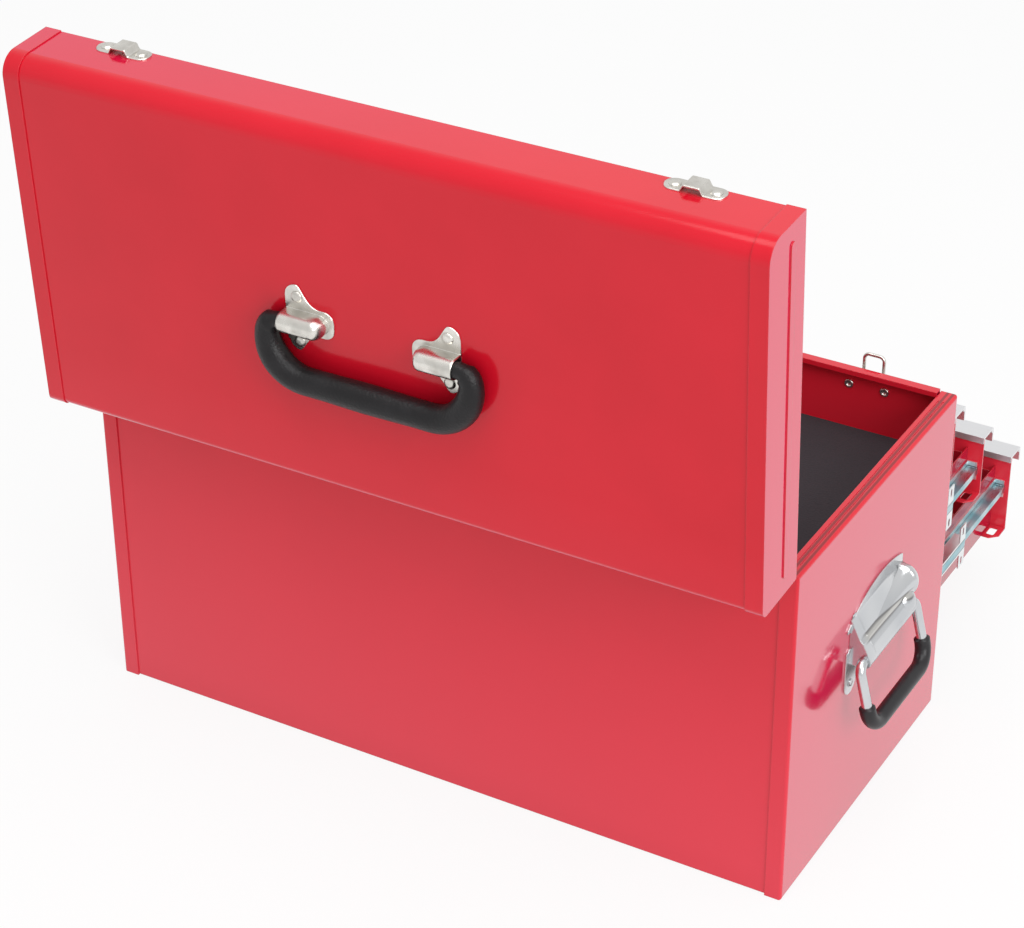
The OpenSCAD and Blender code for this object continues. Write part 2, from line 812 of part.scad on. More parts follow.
// Half of the bail at +Y, hanging straight down from its pivot, in the YZ plane
module bail_half(r_stub, r_leg, from_leg) {
    half = bail_w / 2;
    if (from_leg < 0) {
        rod_y(r_stub, half - 32, half - top_bend_r);
        translate([0, half - top_bend_r, -top_bend_r]) rotate([0, -90, 0]) bend(top_bend_r, r_leg);
    }
    leg_from = from_leg < 0 ? -top_bend_r : -bail_l + from_leg;
    translate([0, half, -bail_l + low_bend_r]) cylinder(r = r_leg, h = leg_from + bail_l - low_bend_r);
    translate([0, half - low_bend_r, -bail_l + low_bend_r]) rotate([0, 90, 0]) bend(low_bend_r, r_leg);
    translate([0, 0, -bail_l]) rod_y(r_leg, 0, half - low_bend_r);
}

module bail_both(r_stub, r_leg, from_leg) {
    bail_half(r_stub, r_leg, from_leg);
    mirror([0, 1, 0]) bail_half(r_stub, r_leg, from_leg);
}

module bail_place() {
    side_handle_place() translate([bail_out, 0, 0]) rotate([0, -bail_lean, 0]) children();
}

module side_bail() {
    color(zinc) bail_place() bail_both(bail_r, bail_r, -1);
}

module side_grip() {
    color(black) bail_place() difference() {
        bail_both(bail_r, bail_grip_d / 2, low_bend_r + grip_up);
        bail_both(bail_r + run, bail_r + run, -1);
    }
}

// Draw latches on the fixed front wall, each about the middle of its rivets
latch_z = body_h - 11.4;                // height of the rivets
latch_plate = [38, 27];
latch_plate_t = 1;
cheek_out = 5;                          // lever pivot outside the wall
lever_pivot_z = -3;                     // below the rivets
lever_pin_r = 1.5;
ear_in = loop_w / 2 + 0.6;
ear_t = 1;
lever_half = loop_w / 2 - wire_d - 0.5; // half the width of the lever
lever_t = 1;
lever_out = 12.2;
lever_len = 21;
loop_out = 9.5;
loop_down = 8;                          // loop's feet below the lever's pivot
loop_up = 32;                           // height of the loop

module latch_place(s) {
    translate([s * latch_x, -wall_y, latch_z]) children();
}

module latch_bases() {
    color(nickel) for (s = [-1, 1]) latch_place(s) {
        translate([0, 0, lever_pivot_z - 2]) rotate([90, 0, 0]) linear_extrude(latch_plate_t)
            rounded_slab(latch_plate[0], latch_plate[1], 5);
        for (t = [-1, 1]) translate([t * (ear_in + ear_t / 2), 0, lever_pivot_z]) difference() {
            along_x(ear_t) {
                translate([-cheek_out, 0]) circle(3.4);
                translate([-cheek_out, -3.4]) square([cheek_out - latch_plate_t + 0.5, 6.8]);
            }
            translate([0, -cheek_out, 0]) rod_x(lever_pin_r, -ear_t, ear_t);
        }
    }
}

module latch_rivets() {
    color(nickel) for (s = [-1, 1]) latch_place(s) for (t = [-1, 1])
        translate([t * latch_rivet_pitch / 2, -latch_plate_t, 0]) rotate([90, 0, 0])
            rivet_head(2.6, 1.2);
}

module latch_pins() {
    color(nickel) for (s = [-1, 1]) latch_place(s) translate([0, -cheek_out, lever_pivot_z])
        rod_x(lever_pin_r, -ear_in - ear_t, ear_in + ear_t);
}

module latch_lever(s) {
    color(nickel) latch_place(s) translate([0, -cheek_out, lever_pivot_z]) difference() {
        union() {
            for (t = [-1, 1]) translate([t * (lever_half - lever_t / 2), 0, 0]) along_x(lever_t) {
                circle(3.2);
                translate([-lever_out + cheek_out, -loop_down - 2.5])
                    square([lever_out - cheek_out - 2, loop_down + 5.7]);
                translate([-lever_out + cheek_out, 0]) square([lever_out - cheek_out, 3.2]);
            }
            translate([-lever_half, -lever_out + cheek_out - lever_t, -lever_len])
                cube([2 * lever_half, lever_t, lever_len + 3.2]);
            translate([-lever_half, -lever_out + cheek_out - 2.5 * lever_t, -lever_len])
                cube([2 * lever_half, 2 * lever_t, lever_t]);
        }
        rod_x(lever_pin_r + run, -lever_half - 1, lever_half + 1);
        translate([0, -loop_out + cheek_out, -loop_down])
            rod_x(wire_d / 2 + run, -lever_half - 1, lever_half + 1);
    }
}

module latch_loop(s) {
    r = wire_d / 2;
    leg = loop_w / 2 - r;
    foot_r = 2;
    top_r = 3.5;
    color(nickel) latch_place(s) translate([0, -loop_out, lever_pivot_z - loop_down])
        both_sides() {
            rod_x(r, lever_half - lever_t - 0.7, leg - foot_r);
            translate([leg - foot_r, 0, foot_r]) rotate([-90, 0, 0]) bend(foot_r, r);
            translate([leg, 0, foot_r]) cylinder(r = r, h = loop_up - foot_r - top_r - r);
            translate([leg - top_r, 0, loop_up - top_r - r]) rotate([90, 0, 0]) bend(top_r, r);
            translate([0, 0, loop_up - r]) rod_x(r, 0, leg - top_r);
        }
}

mirror([1, 0, 0]) side_panel();  // side_panel_left
side_panel();  // side_panel_right
back_panel();
base_panel();
front_top_wall();
tray_floor();
tray_mat();
mirror([1, 0, 0]) slide_posts();  // slide_posts_left
slide_posts();  // slide_posts_right
hinge_body_leaf();
hinge_lid_leaf();
hinge_pin();
lid_shell();
mirror([1, 0, 0]) lid_end();  // lid_end_left
lid_end();  // lid_end_right
lid_strikes();
strike_rivets();
carry_brackets();
carry_bracket_rivets();
carry_handle();
mirror([1, 0, 0]) side_bracket();  // side_bracket_left
side_bracket();  // side_bracket_right
color(zinc) side_rivets();  // side_bracket_rivets
mirror([1, 0, 0]) side_bail();  // side_bail_left
side_bail();  // side_bail_right
mirror([1, 0, 0]) side_grip();  // side_grip_left
side_grip();  // side_grip_right
latch_bases();
latch_rivets();
latch_pins();
latch_lever(-1);  // latch_lever_left
latch_lever(1);  // latch_lever_right
latch_loop(-1);  // latch_loop_left
latch_loop(1);  // latch_loop_right
drawer_box(0);  // drawer_1_box
drawer_box(1);  // drawer_2_box
drawer_box(2);  // drawer_3_box
drawer_front(0);  // drawer_1_front
drawer_front(1);  // drawer_2_front
drawer_front(2);  // drawer_3_front
drawer_pull(0);  // drawer_1_pull
drawer_pull(1);  // drawer_2_pull
drawer_pull(2);  // drawer_3_pull
slide_outer(0);  // slide_outer_1
slide_outer(1);  // slide_outer_2
slide_outer(2);  // slide_outer_3
slide_mid(0);  // slide_mid_1
slide_mid(1);  // slide_mid_2
slide_mid(2);  // slide_mid_3
slide_inner(0);  // slide_inner_1
slide_inner(1);  // slide_inner_2
slide_inner(2);  // slide_inner_3
slide_outer_cage(0);  // outer_cage_1
slide_outer_cage(1);  // outer_cage_2
slide_outer_cage(2);  // outer_cage_3
slide_inner_cage(0);  // inner_cage_1
slide_inner_cage(1);  // inner_cage_2
slide_inner_cage(2);  // inner_cage_3
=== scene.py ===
# %% [markdown]
# A portable steel tool chest, seen from behind with its lid and its drawers open. The solids come
# from the CAD model, which holds every panel, hinge, slide and handle at its real size. What a
# solid can't show is added here: the gloss of the paint, the rounding of folded sheet, the plating,
# the pressed brackets and strikes, the moulded grips and the rivets. Everything is in metres, with
# the origin under the cabinet.

# %% Load the frame
import math

import bmesh
import bpy
from mathutils import Matrix, Vector


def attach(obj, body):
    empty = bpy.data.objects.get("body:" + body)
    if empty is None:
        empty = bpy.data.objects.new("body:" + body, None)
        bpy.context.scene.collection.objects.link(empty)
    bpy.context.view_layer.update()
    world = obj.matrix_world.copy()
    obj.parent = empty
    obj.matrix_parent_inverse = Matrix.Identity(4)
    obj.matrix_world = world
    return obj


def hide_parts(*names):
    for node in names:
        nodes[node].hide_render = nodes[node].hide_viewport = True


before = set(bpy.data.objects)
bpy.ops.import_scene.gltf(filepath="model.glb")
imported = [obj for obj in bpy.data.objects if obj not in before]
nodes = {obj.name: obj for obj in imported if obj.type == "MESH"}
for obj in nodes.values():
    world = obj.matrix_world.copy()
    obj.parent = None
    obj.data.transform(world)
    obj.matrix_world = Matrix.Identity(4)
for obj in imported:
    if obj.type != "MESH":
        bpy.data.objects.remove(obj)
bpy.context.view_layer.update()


# %% [markdown]
# Sizes that the pieces below share. The lid turns about the hinge pin behind the cabinet's rim, so
# a direction on the closed lid is turned by the same angle to point as it does on the open one.

# %% Shared sizes
MM = 0.001
LID_ANGLE = math.radians(93.2)
HALF_W = 261.5 * MM


def on_open_lid(direction):
    return Matrix.Rotation(-LID_ANGLE, 3, "X") @ Vector(direction)


lid_outward = on_open_lid((0, 0, 1))
lid_front_outward = on_open_lid((0, -1, 0))
print("the open lid's top faces", tuple(round(c, 3) for c in lid_outward))

# %% [markdown]
# Shader maths is easier to read as a formula than as a chain of nodes. Field wraps one socket, and
# each operator on it adds the Math node that does the sum. A plain number works on either side.

# %% Shader maths


class Field:
    def __init__(self, finish, socket):
        self.finish, self.socket = finish, socket

    def maths(self, operation, *others, clamp=False):
        node = self.finish.add(
            "ShaderNodeMath",
            {"operation": operation, "use_clamp": clamp},
            dict(enumerate((self, *others))),
        )
        return Field(self.finish, node.outputs[0])

    def __add__(self, other):
        return self.maths("ADD", other)

    __radd__ = __add__

    def __sub__(self, other):
        return self.maths("SUBTRACT", other)

    def __rsub__(self, other):
        return (self * -1).maths("ADD", other)

    def __mul__(self, other):
        return self.maths("MULTIPLY", other)

    __rmul__ = __mul__

    def __truediv__(self, other):
        return self.maths("DIVIDE", other)

    def __rtruediv__(self, other):
        return self.maths("POWER", -1) * other

    def size(self):
        return self.maths("ABSOLUTE")

    def ramp(self, low, high):
        """0 below low and 1 above high, with a straight rise between them."""
        return ((self - low) / (high - low)).maths("ADD", 0.0, clamp=True)


# %% [markdown]
# A finish is a material with one shader. Its add method makes any node from a type, the settings
# that change its sockets, and then the sockets' values or links. The other methods are the patterns
# that every finish on the chest is mixed from: noise, stretched noise, bumps, colour mixes, and a
# mask of the folded edges. That mask compares the true normal with the one of a Bevel node, because
# the two differ only where the sheet turns a corner.

# %% A finish


class Finish:
    def __init__(self, name):
        self.material = bpy.data.materials.new(name)
        self.material.use_nodes = True
        self.tree = self.material.node_tree
        self.tree.nodes.clear()
        self.place = Field(self, self.add("ShaderNodeTexCoord").outputs["Object"])

    def add(self, kind, settings=None, values=None):
        node = self.tree.nodes.new(kind)
        for name, value in (settings or {}).items():
            setattr(node, name, value)
        for name, value in (values or {}).items():
            if isinstance(value, Field):
                self.tree.links.new(value.socket, node.inputs[name])
            else:
                node.inputs[name].default_value = value
        return node

    def along(self, axis):
        """The place along one axis of the chest, in metres."""
        parts = self.add("ShaderNodeSeparateXYZ", None, {0: self.place})
        return Field(self, parts.outputs[axis])

    def scaled(self, stretch):
        node = self.add(
            "ShaderNodeVectorMath", {"operation": "MULTIPLY"}, {0: self.place, 1: stretch}
        )
        return Field(self, node.outputs[0])

    def noise(self, size, detail=2.0, stretch=None):
        """Noise from 0 to 1 whose patches are about size metres wide."""
        where = self.scaled(stretch) if stretch else self.place
        values = {"Vector": where, "Scale": 1 / size, "Detail": detail}
        return Field(self, self.add("ShaderNodeTexNoise", None, values).outputs[0])

    def cells(self, size):
        """Distance from the nearest point of a scatter whose points are about size metres apart."""
        values = {"Vector": self.place, "Scale": 1 / size}
        return Field(self, self.add("ShaderNodeTexVoronoi", None, values).outputs["Distance"])

    def blend(self, amount, first, second):
        values = {0: amount, 6: first, 7: second}
        node = self.add("ShaderNodeMix", {"data_type": "RGBA"}, values)
        return Field(self, node.outputs[2])

    def rounded(self, radius):
        node = self.add("ShaderNodeBevel", {"samples": 4}, {"Radius": radius})
        return Field(self, node.outputs[0])

    def edges(self, radius):
        """About 1 on the turn of a folded edge and 0 on the flats."""
        true = Field(self, self.add("ShaderNodeNewGeometry").outputs["Normal"])
        values = {0: self.rounded(radius), 1: true}
        node = self.add("ShaderNodeVectorMath", {"operation": "DOT_PRODUCT"}, values)
        return (1 - Field(self, node.outputs["Value"])).ramp(0.02, 0.22)

    def bump(self, height, depth, normal=None):
        values = {"Height": height, "Distance": depth, "Strength": 1.0}
        if normal:
            values["Normal"] = normal
        return Field(self, self.add("ShaderNodeBump", None, values).outputs[0])

    def finish(self, **values):
        """The shader, whose sockets are named with _ for a space."""
        sockets = {name.replace("_", " "): value for name, value in values.items()}
        shader = self.add("ShaderNodeBsdfPrincipled", None, sockets)
        output = self.add("ShaderNodeOutputMaterial")
        self.tree.links.new(shader.outputs[0], output.inputs[0])
        print("finish", self.material.name, len(self.tree.nodes), "nodes")
        return self.material


# %% [markdown]
# The chest is sprayed with a red gloss enamel. Real enamel isn't flat: it has a fine orange peel,
# its colour wanders slightly with the thickness of the coat, and the coat is thinner and a little
# paler where it runs over a folded edge. Shade is painted into the colour: the inside of the tray,
# the two rolled grooves of the rim and, in a second enamel, the drawer boxes are painted darker.
# Light is painted in too, as a paler and pinker red towards the foot. A panel that is seen at a low
# angle turns pink and cooler, as the end of the chest is here, so the gloss grows with the angle of
# view and a cooler red is painted in with it as a painted reflection.

# %% Red enamel
RED = (0.68, 0.006, 0.022, 1)
RED_DEEP = (0.60, 0.004, 0.016, 1)
RED_THIN = (0.78, 0.040, 0.062, 1)
RED_REFLECTION_COOL = (0.66, 0.006, 0.062, 1)
RED_FOOT_LIGHT = (0.78, 0.042, 0.072, 1)
RED_SHADE_INSIDE = (0.30, 0.001, 0.006, 1)
RED_SHADE_DARK = (0.22, 0.001, 0.005, 1)
BACK_INSIDE = 123.2 * MM
RIM_Z = 251 * MM
FOOT_LIGHT_RISE = (0.02, 0.30)
GROOVES_MIDDLE = 5 * MM
GROOVE_APART = 1.9 * MM
GROOVE_HALF = 1.2 * MM
GROOVE_REACH = 2 * MM
MASK_SOFT = 0.2 * MM
GROOVE_SOFT = 0.5 * MM


def red_enamel(name, lit_share):
    """The enamel. A second value under 1 paints the whole sheet darker, as painted shade."""
    f = Finish(name)
    edge = f.edges(1.2 * MM)
    drift = f.noise(90 * MM, 3)
    peel = f.noise(2.6 * MM, 1)
    dust = f.noise(0.7 * MM, 2).ramp(0.68, 0.8)
    sheen = Field(f, f.add("ShaderNodeLayerWeight", None, {"Blend": 0.5}).outputs["Facing"])
    coat = f.blend(drift.ramp(0.35, 0.65) * 0.5, RED, RED_DEEP)
    across, along, up = f.along("X").size(), f.along("Y").size(), f.along("Z")
    # Painted light: a paler, pinker red towards the foot.
    foot_lit = f.blend(1 - up.ramp(*FOOT_LIGHT_RISE), coat, RED_FOOT_LIGHT)
    # Painted reflection: a cooler red grows with the angle of view.
    cool_reflection = f.blend(sheen.ramp(0.52, 0.60), foot_lit, RED_REFLECTION_COOL)
    thin = f.blend(edge * (0.35 + drift * 0.4), cool_reflection, RED_THIN)
    # Painted shade: the inside of the tray is painted darker.
    inside = (HALF_W - 0.5 * MM - across).ramp(0, MASK_SOFT)
    inside = inside * (BACK_INSIDE - along).ramp(0, MASK_SOFT)
    inside = inside * (RIM_Z - 1.2 * MM - up).ramp(0, MASK_SOFT)
    shaded = f.blend(inside * 0.85, thin, RED_SHADE_INSIDE)
    # Painted shade: the two rolled grooves of the rim are painted darker.
    off_groove = ((HALF_W - across - GROOVES_MIDDLE).size() - GROOVE_APART).size()
    groove_shade = (GROOVE_HALF - off_groove).ramp(0, GROOVE_SOFT)
    groove_shade = groove_shade * (up - RIM_Z + GROOVE_REACH).ramp(0, GROOVE_SOFT)
    groove_shade = groove_shade * (RIM_Z + GROOVE_REACH - up).ramp(0, GROOVE_SOFT)
    # Painted shade: the grooves go towards a dark red, and so does the whole sheet of the darker
    # enamel.
    return f.finish(
        Base_Color=f.blend(1 - (1 - groove_shade * 0.85) * lit_share, shaded, RED_SHADE_DARK),
        Roughness=0.1 + drift * 0.06 + dust * 0.08 + edge * 0.06,
        IOR=1.42,
        Coat_Weight=sheen.ramp(0.3, 0.62) * 0.68,
        Coat_Roughness=0.06,
        Normal=f.bump(peel + dust * 0.5, 0.012 * MM, f.rounded(0.8 * MM)),
    )


# %% [markdown]
# The catches, the carry handle's brackets and the rivets are nickel plated: a warm, fairly bright
# metal with soft blotches where the plating is duller, and fine scratches from tumbling.

# %% Nickel


def nickel_plate():
    f = Finish("nickel_plate")
    edge = f.edges(0.5 * MM)
    blotch = f.noise(9 * MM, 3)
    grain = f.noise(0.8 * MM, 3, (1.0, 0.25, 0.25))
    dull = blotch.ramp(0.35, 0.7)
    colour = f.blend(dull * 0.6, (0.80, 0.78, 0.73, 1), (0.48, 0.46, 0.42, 1))
    return f.finish(
        Base_Color=f.blend(edge * 0.5, colour, (0.90, 0.89, 0.87, 1)),
        Metallic=1.0,
        Roughness=0.2 + dull * 0.12 + grain * 0.08,
        Normal=f.bump(grain, 0.01 * MM, f.rounded(0.4 * MM)),
    )


# %% [markdown]
# The slides, their cages and the side handles are bright zinc plate. The chromate that protects the
# zinc leaves a thin film, which noise places and which makes the plate a little rougher. The web
# inside each slide's lips is painted a blue to green grey as painted shade, more strongly where the
# film lies. Noise that is stretched along the drawer's travel gives the rolled grain of the strip.
# The lips run over the balls and are worn bright, and a dark line is painted in the gap beside them
# as painted shade.

# %% Zinc
SLIDE_LIP = 3.3 * MM
GAP_SHADE_HALF = 0.6 * MM
SLIDE_Z = (184.0 * MM, 134.3 * MM, 84.6 * MM)
CREASE_Z = (154.9 * MM, 150.8 * MM)
CREASE_REACH = 36 * MM
CREASE_FADE = 8 * MM


def zinc_plate():
    f = Finish("zinc_plate")
    edge = f.edges(0.5 * MM)
    film = f.noise(22 * MM, 2).ramp(0.35, 0.6)
    grain = f.noise(0.6 * MM, 2, (1.0, 0.06, 1.0))
    up = f.along("Z")
    rows = [(up - height).size() for height in SLIDE_Z]
    row = rows[0].maths("MINIMUM", rows[1]).maths("MINIMUM", rows[2])
    # Painted shade: the web inside each slide's lips is tinted a darker blue-green, more where the
    # film lies.
    shaded_web = (SLIDE_LIP - row).ramp(-0.3 * MM, 0.3 * MM)
    # Painted shade: a dark line in the gap beside each lip.
    gap_shade = (GAP_SHADE_HALF - (row - SLIDE_LIP).size()).ramp(0, 0.5 * MM)
    tint = f.blend(shaded_web * (0.45 + film * 0.5), (0.86, 0.89, 0.90, 1), (0.22, 0.48, 0.55, 1))
    folded = f.blend(gap_shade * 0.9, tint, (0.05, 0.06, 0.07, 1))
    return f.finish(
        Base_Color=f.blend(edge * (1 - gap_shade), folded, (0.94, 0.96, 0.97, 1)),
        Metallic=1.0,
        Roughness=0.2 + film * 0.08 + grain * 0.12,
        Normal=f.bump(grain, 0.01 * MM, f.rounded(0.3 * MM)),
    )


def handle_zinc():
    """The same plate on the side handles, with less tint and with painted shade in the brackets'
    creases.
    """
    f = Finish("handle_zinc")
    edge = f.edges(0.5 * MM)
    film = f.noise(40 * MM, 1).ramp(0.3, 0.7)
    tumble = f.noise(0.9 * MM, 3)
    tint = f.blend(film * 0.6, (0.70, 0.71, 0.72, 1), (0.50, 0.52, 0.55, 1))
    up, along = f.along("Z"), f.along("Y").size()
    high, low = [(1.1 * MM - (up - crease).size()).ramp(0, 1.0 * MM) for crease in CREASE_Z]
    reach = (CREASE_REACH - along).ramp(0, CREASE_FADE)
    crease = (high + low) * reach
    between = (up - CREASE_Z[1]).ramp(0, 0.5 * MM) * (CREASE_Z[0] - up).ramp(0, 0.5 * MM)
    ridge = f.blend(between * reach * 0.5, tint, (0.62, 0.59, 0.52, 1))
    # Painted shade: dark lines along the two creases of each bracket.
    crease_shaded = f.blend(crease * 0.8, ridge, (0.16, 0.15, 0.15, 1))
    return f.finish(
        Base_Color=f.blend(edge * (1 - crease) * 0.7, crease_shaded, (0.94, 0.94, 0.94, 1)),
        Metallic=1.0,
        Roughness=0.14 + film * 0.08 + tumble * 0.04,
        Normal=f.bump(tumble, 0.006 * MM, f.rounded(0.9 * MM)),
    )


# %% [markdown]
# The pulls along the drawers are extruded aluminium with a satin anodised skin. The die leaves fine
# lines along the whole length, which stretched noise gives in both the bump and the roughness.

# %% Aluminium


def satin_aluminium():
    f = Finish("satin_aluminium")
    edge = f.edges(0.4 * MM)
    lines = f.noise(0.5 * MM, 3, (0.015, 1.0, 1.0))
    cloud = f.noise(40 * MM, 2)
    colour = f.blend(lines * 0.5 + cloud * 0.2, (0.86, 0.86, 0.87, 1), (0.74, 0.75, 0.77, 1))
    return f.finish(
        Base_Color=f.blend(edge * 0.5, colour, (0.93, 0.93, 0.94, 1)),
        Metallic=0.85,
        Roughness=0.32 + lines * 0.14,
        Normal=f.bump(lines, 0.012 * MM, f.rounded(0.3 * MM)),
    )


# %% [markdown]
# Two blacks are on the chest. The carry handle is moulded in a tool with a leather grain, so it is
# matt and its highlights are broken up by small cells. The side handles are dipped in soft plastic,
# which sets smooth and shines more. The tray's mat is foam, matt and open-celled.

# %% Blacks


def grained_plastic():
    f = Finish("grained_plastic")
    grain = f.cells(1.6 * MM)
    fine = f.noise(0.4 * MM, 2)
    wear = f.noise(14 * MM, 3).ramp(0.45, 0.75)
    colour = f.blend(wear * 0.6, (0.010, 0.009, 0.010, 1), (0.022, 0.021, 0.023, 1))
    return f.finish(
        Base_Color=f.blend(grain.ramp(0.5, 0.9) * 0.5, colour, (0.010, 0.010, 0.011, 1)),
        Roughness=0.3 + wear * 0.12 + fine * 0.08,
        Specular_IOR_Level=0.3,
        Normal=f.bump(fine * 0.3 - grain, 0.16 * MM),
    )


def dipped_plastic():
    f = Finish("dipped_plastic")
    ripple = f.noise(6 * MM, 2)
    pores = f.noise(0.5 * MM, 2).ramp(0.6, 0.8)
    colour = f.blend(ripple * 0.5, (0.016, 0.015, 0.017, 1), (0.030, 0.029, 0.031, 1))
    return f.finish(
        Base_Color=colour,
        Roughness=0.26 + ripple * 0.1 + pores * 0.1,
        Specular_IOR_Level=0.35,
        Normal=f.bump(ripple + pores * 0.05, 0.15 * MM, f.rounded(1.2 * MM)),
    )


def foam_mat():
    f = Finish("foam_mat")
    cells = f.cells(1.4 * MM)
    fluff = f.noise(0.5 * MM, 3)
    patch = f.noise(60 * MM, 3)
    colour = f.blend(patch * 0.6 + cells * 0.4, (0.038, 0.029, 0.035, 1), (0.020, 0.016, 0.020, 1))
    return f.finish(
        Base_Color=colour,
        Roughness=0.86 + fluff * 0.1,
        Normal=f.bump(fluff * 0.5 - cells, 0.2 * MM),
    )


# %% [markdown]
# Each CAD node takes the finish of the real part that it stands for. Its name says which, so the
# choice is made from the first words of the name.

# %% Dress the CAD nodes
# The second enamel is painted darker all over, as painted shade on the drawer boxes.
enamel, shaded_enamel = red_enamel("red_enamel", 1.0), red_enamel("red_enamel_shaded", 0.5)
nickel, zinc, bright = nickel_plate(), zinc_plate(), handle_zinc()
aluminium, grained, dipped, foam = (
    satin_aluminium(),
    grained_plastic(),
    dipped_plastic(),
    foam_mat(),
)

NICKEL_PARTS = ("lid_strikes", "strike_rivets", "carry_bracket", "latch_")
ZINC_PARTS = ("slide_", "outer_cage", "inner_cage", "hinge_pin")
BRIGHT_PARTS = ("side_bracket", "side_bail")


def finish_of(name):
    if name.startswith(NICKEL_PARTS):
        return nickel, "nickel"
    if name.startswith(ZINC_PARTS):
        return zinc, "zinc"
    if name.startswith(BRIGHT_PARTS):
        return bright, "zinc"
    if name.endswith("_pull"):
        return aluminium, "aluminium"
    if name == "carry_handle":
        return grained, "grip"
    if name.startswith("side_grip"):
        return dipped, "grip"
    if name == "tray_mat":
        return foam, "mat"
    # Painted shade: the drawer boxes take the darker enamel.
    if name.endswith("_box"):
        return shaded_enamel, "paint"
    return enamel, "paint"


for name, node in nodes.items():
    material, slot = finish_of(name)
    node.data.materials.clear()
    node.data.materials.append(material)
print(len(nodes), "nodes dressed")

# %% [markdown]
# Geometry Nodes trees are written with a small helper too. It adds a node, sets it up and links or
# fills its sockets, and it gives a tree its named size inputs.

# %% Geometry Nodes helper


class Builder:
    def __init__(self, name, sizes):
        self.tree = bpy.data.node_groups.new(name, "GeometryNodeTree")
        self.tree.interface.new_socket("Points", in_out="INPUT", socket_type="NodeSocketGeometry")
        for size in sizes:
            self.tree.interface.new_socket(size, in_out="INPUT", socket_type="NodeSocketFloat")
        self.tree.interface.new_socket("Solid", in_out="OUTPUT", socket_type="NodeSocketGeometry")
        self.inputs = self.tree.nodes.new("NodeGroupInput").outputs

    def add(self, kind, settings=None, values=None):
        node = self.tree.nodes.new(kind)
        for name, value in (settings or {}).items():
            setattr(node, name, value)
        for name, value in (values or {}).items():
            if isinstance(value, bpy.types.NodeSocket):
                self.tree.links.new(value, node.inputs[name])
            else:
                node.inputs[name].default_value = value
        return node.outputs

    def maths(self, operation, *values):
        return self.add("ShaderNodeMath", {"operation": operation}, dict(enumerate(values)))[0]

    def end(self, geometry, material):
        real = self.add("GeometryNodeRealizeInstances", None, {0: geometry})[0]
        smooth = self.add("GeometryNodeSetShadeSmooth", None, {0: real})[0]
        painted = self.add("GeometryNodeSetMaterial", None, {0: smooth, "Material": material})[0]
        output = self.tree.nodes.new("NodeGroupOutput")
        self.tree.links.new(painted, output.inputs[0])

    def build(self, name, start, sizes, body):
        """Run the tree on the start object and keep its result as a plain mesh on a body."""
        modifier = start.modifiers.new(self.tree.name, "NODES")
        modifier.node_group = self.tree
        for item in self.tree.interface.items_tree:
            if item.in_out == "INPUT" and item.name in sizes:
                modifier[item.identifier] = sizes[item.name]
        view = bpy.context.evaluated_depsgraph_get()
        mesh = bpy.data.meshes.new_from_object(start.evaluated_get(view))
        start.modifiers.remove(modifier)
        bpy.data.objects.remove(start)
        mesh.name = name
        made = bpy.data.objects.new(name, mesh)
        bpy.context.scene.collection.objects.link(made)
        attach(made, body)
        print(name, len(mesh.polygons), "faces")
        return made


def point_object(name, places, **attributes):
    mesh = bpy.data.meshes.new(name)
    mesh.from_pydata(places, [], [])
    for label, values in attributes.items():
        layer = mesh.attributes.new(label, "FLOAT_VECTOR", "POINT")
        layer.data.foreach_set("vector", [c for value in values for c in value])
    start = bpy.data.objects.new(name, mesh)
    bpy.context.scene.collection.objects.link(start)
    return start


# %% [markdown]
# Rivets hold the strikes, the brackets and the catches. A set rivet isn't a plain dome: its head
# has a thin rim, and its crown is a little flattened with a small dimple from the riveting tool.
# One head is shaped in Geometry Nodes from a sphere whose height follows a formula, and it is then
# put on every seat. The seats are read from the CAD rivets, so both stay at the same places. They
# are walked in a fixed order, so that the script makes the same mesh in each run.

# %% Rivet tree


def rivet_tree():
    b = Builder("rivets", ["Head Radius", "Head Height"])
    radius, height = b.inputs["Head Radius"], b.inputs["Head Height"]
    ball = b.add(
        "GeometryNodeMeshUVSphere", None, {"Segments": 28, "Rings": 20, "Radius": 1.0}
    )[0]
    place = b.add("ShaderNodeSeparateXYZ", None, {0: b.add("GeometryNodeInputPosition")[0]})
    across = b.maths(
        "SQRT",
        b.maths("ADD", b.maths("POWER", place[0], 2.0), b.maths("POWER", place[1], 2.0)),
    )
    above = b.maths("GREATER_THAN", place[2], 0.0)
    crown = b.maths("SUBTRACT", 1.0, b.maths("POWER", across, 3.0))
    dimple = b.maths("MULTIPLY", b.maths("POWER", crown, 6.0), 0.18)
    lift = b.maths("MULTIPLY", above, b.maths("ADD", b.maths("SUBTRACT", crown, dimple), 0.18))
    shaped = b.add(
        "ShaderNodeCombineXYZ",
        None,
        {
            0: b.maths("MULTIPLY", place[0], radius),
            1: b.maths("MULTIPLY", place[1], radius),
            2: b.maths("MULTIPLY", lift, height),
        },
    )[0]
    head = b.add("GeometryNodeSetPosition", None, {"Geometry": ball, "Position": shaped})[0]
    facing = b.add(
        "GeometryNodeInputNamedAttribute", {"data_type": "FLOAT_VECTOR"}, {"Name": "facing"}
    )[0]
    turn = b.add("FunctionNodeAlignRotationToVector", {"axis": "Z"}, {"Vector": facing})[0]
    spread = b.add(
        "GeometryNodeInstanceOnPoints",
        None,
        {"Points": b.inputs["Points"], "Instance": head, "Rotation": turn},
    )[0]
    b.end(spread, nickel)
    return b


def islands(node):
    """The separate solids of a CAD node, each as a list of corner places."""
    work = bmesh.new()
    work.from_mesh(node.data)
    bmesh.ops.remove_doubles(work, verts=work.verts, dist=0.001 * MM)
    left, found = dict.fromkeys(work.verts), []
    while left:
        stack, group = [left.popitem()[0]], []
        while stack:
            corner = stack.pop()
            group.append(corner.co.copy())
            for edge in corner.link_edges:
                other = edge.other_vert(corner)
                if other in left:
                    del left[other]
                    stack.append(other)
        found.append(group)
    work.free()
    return found


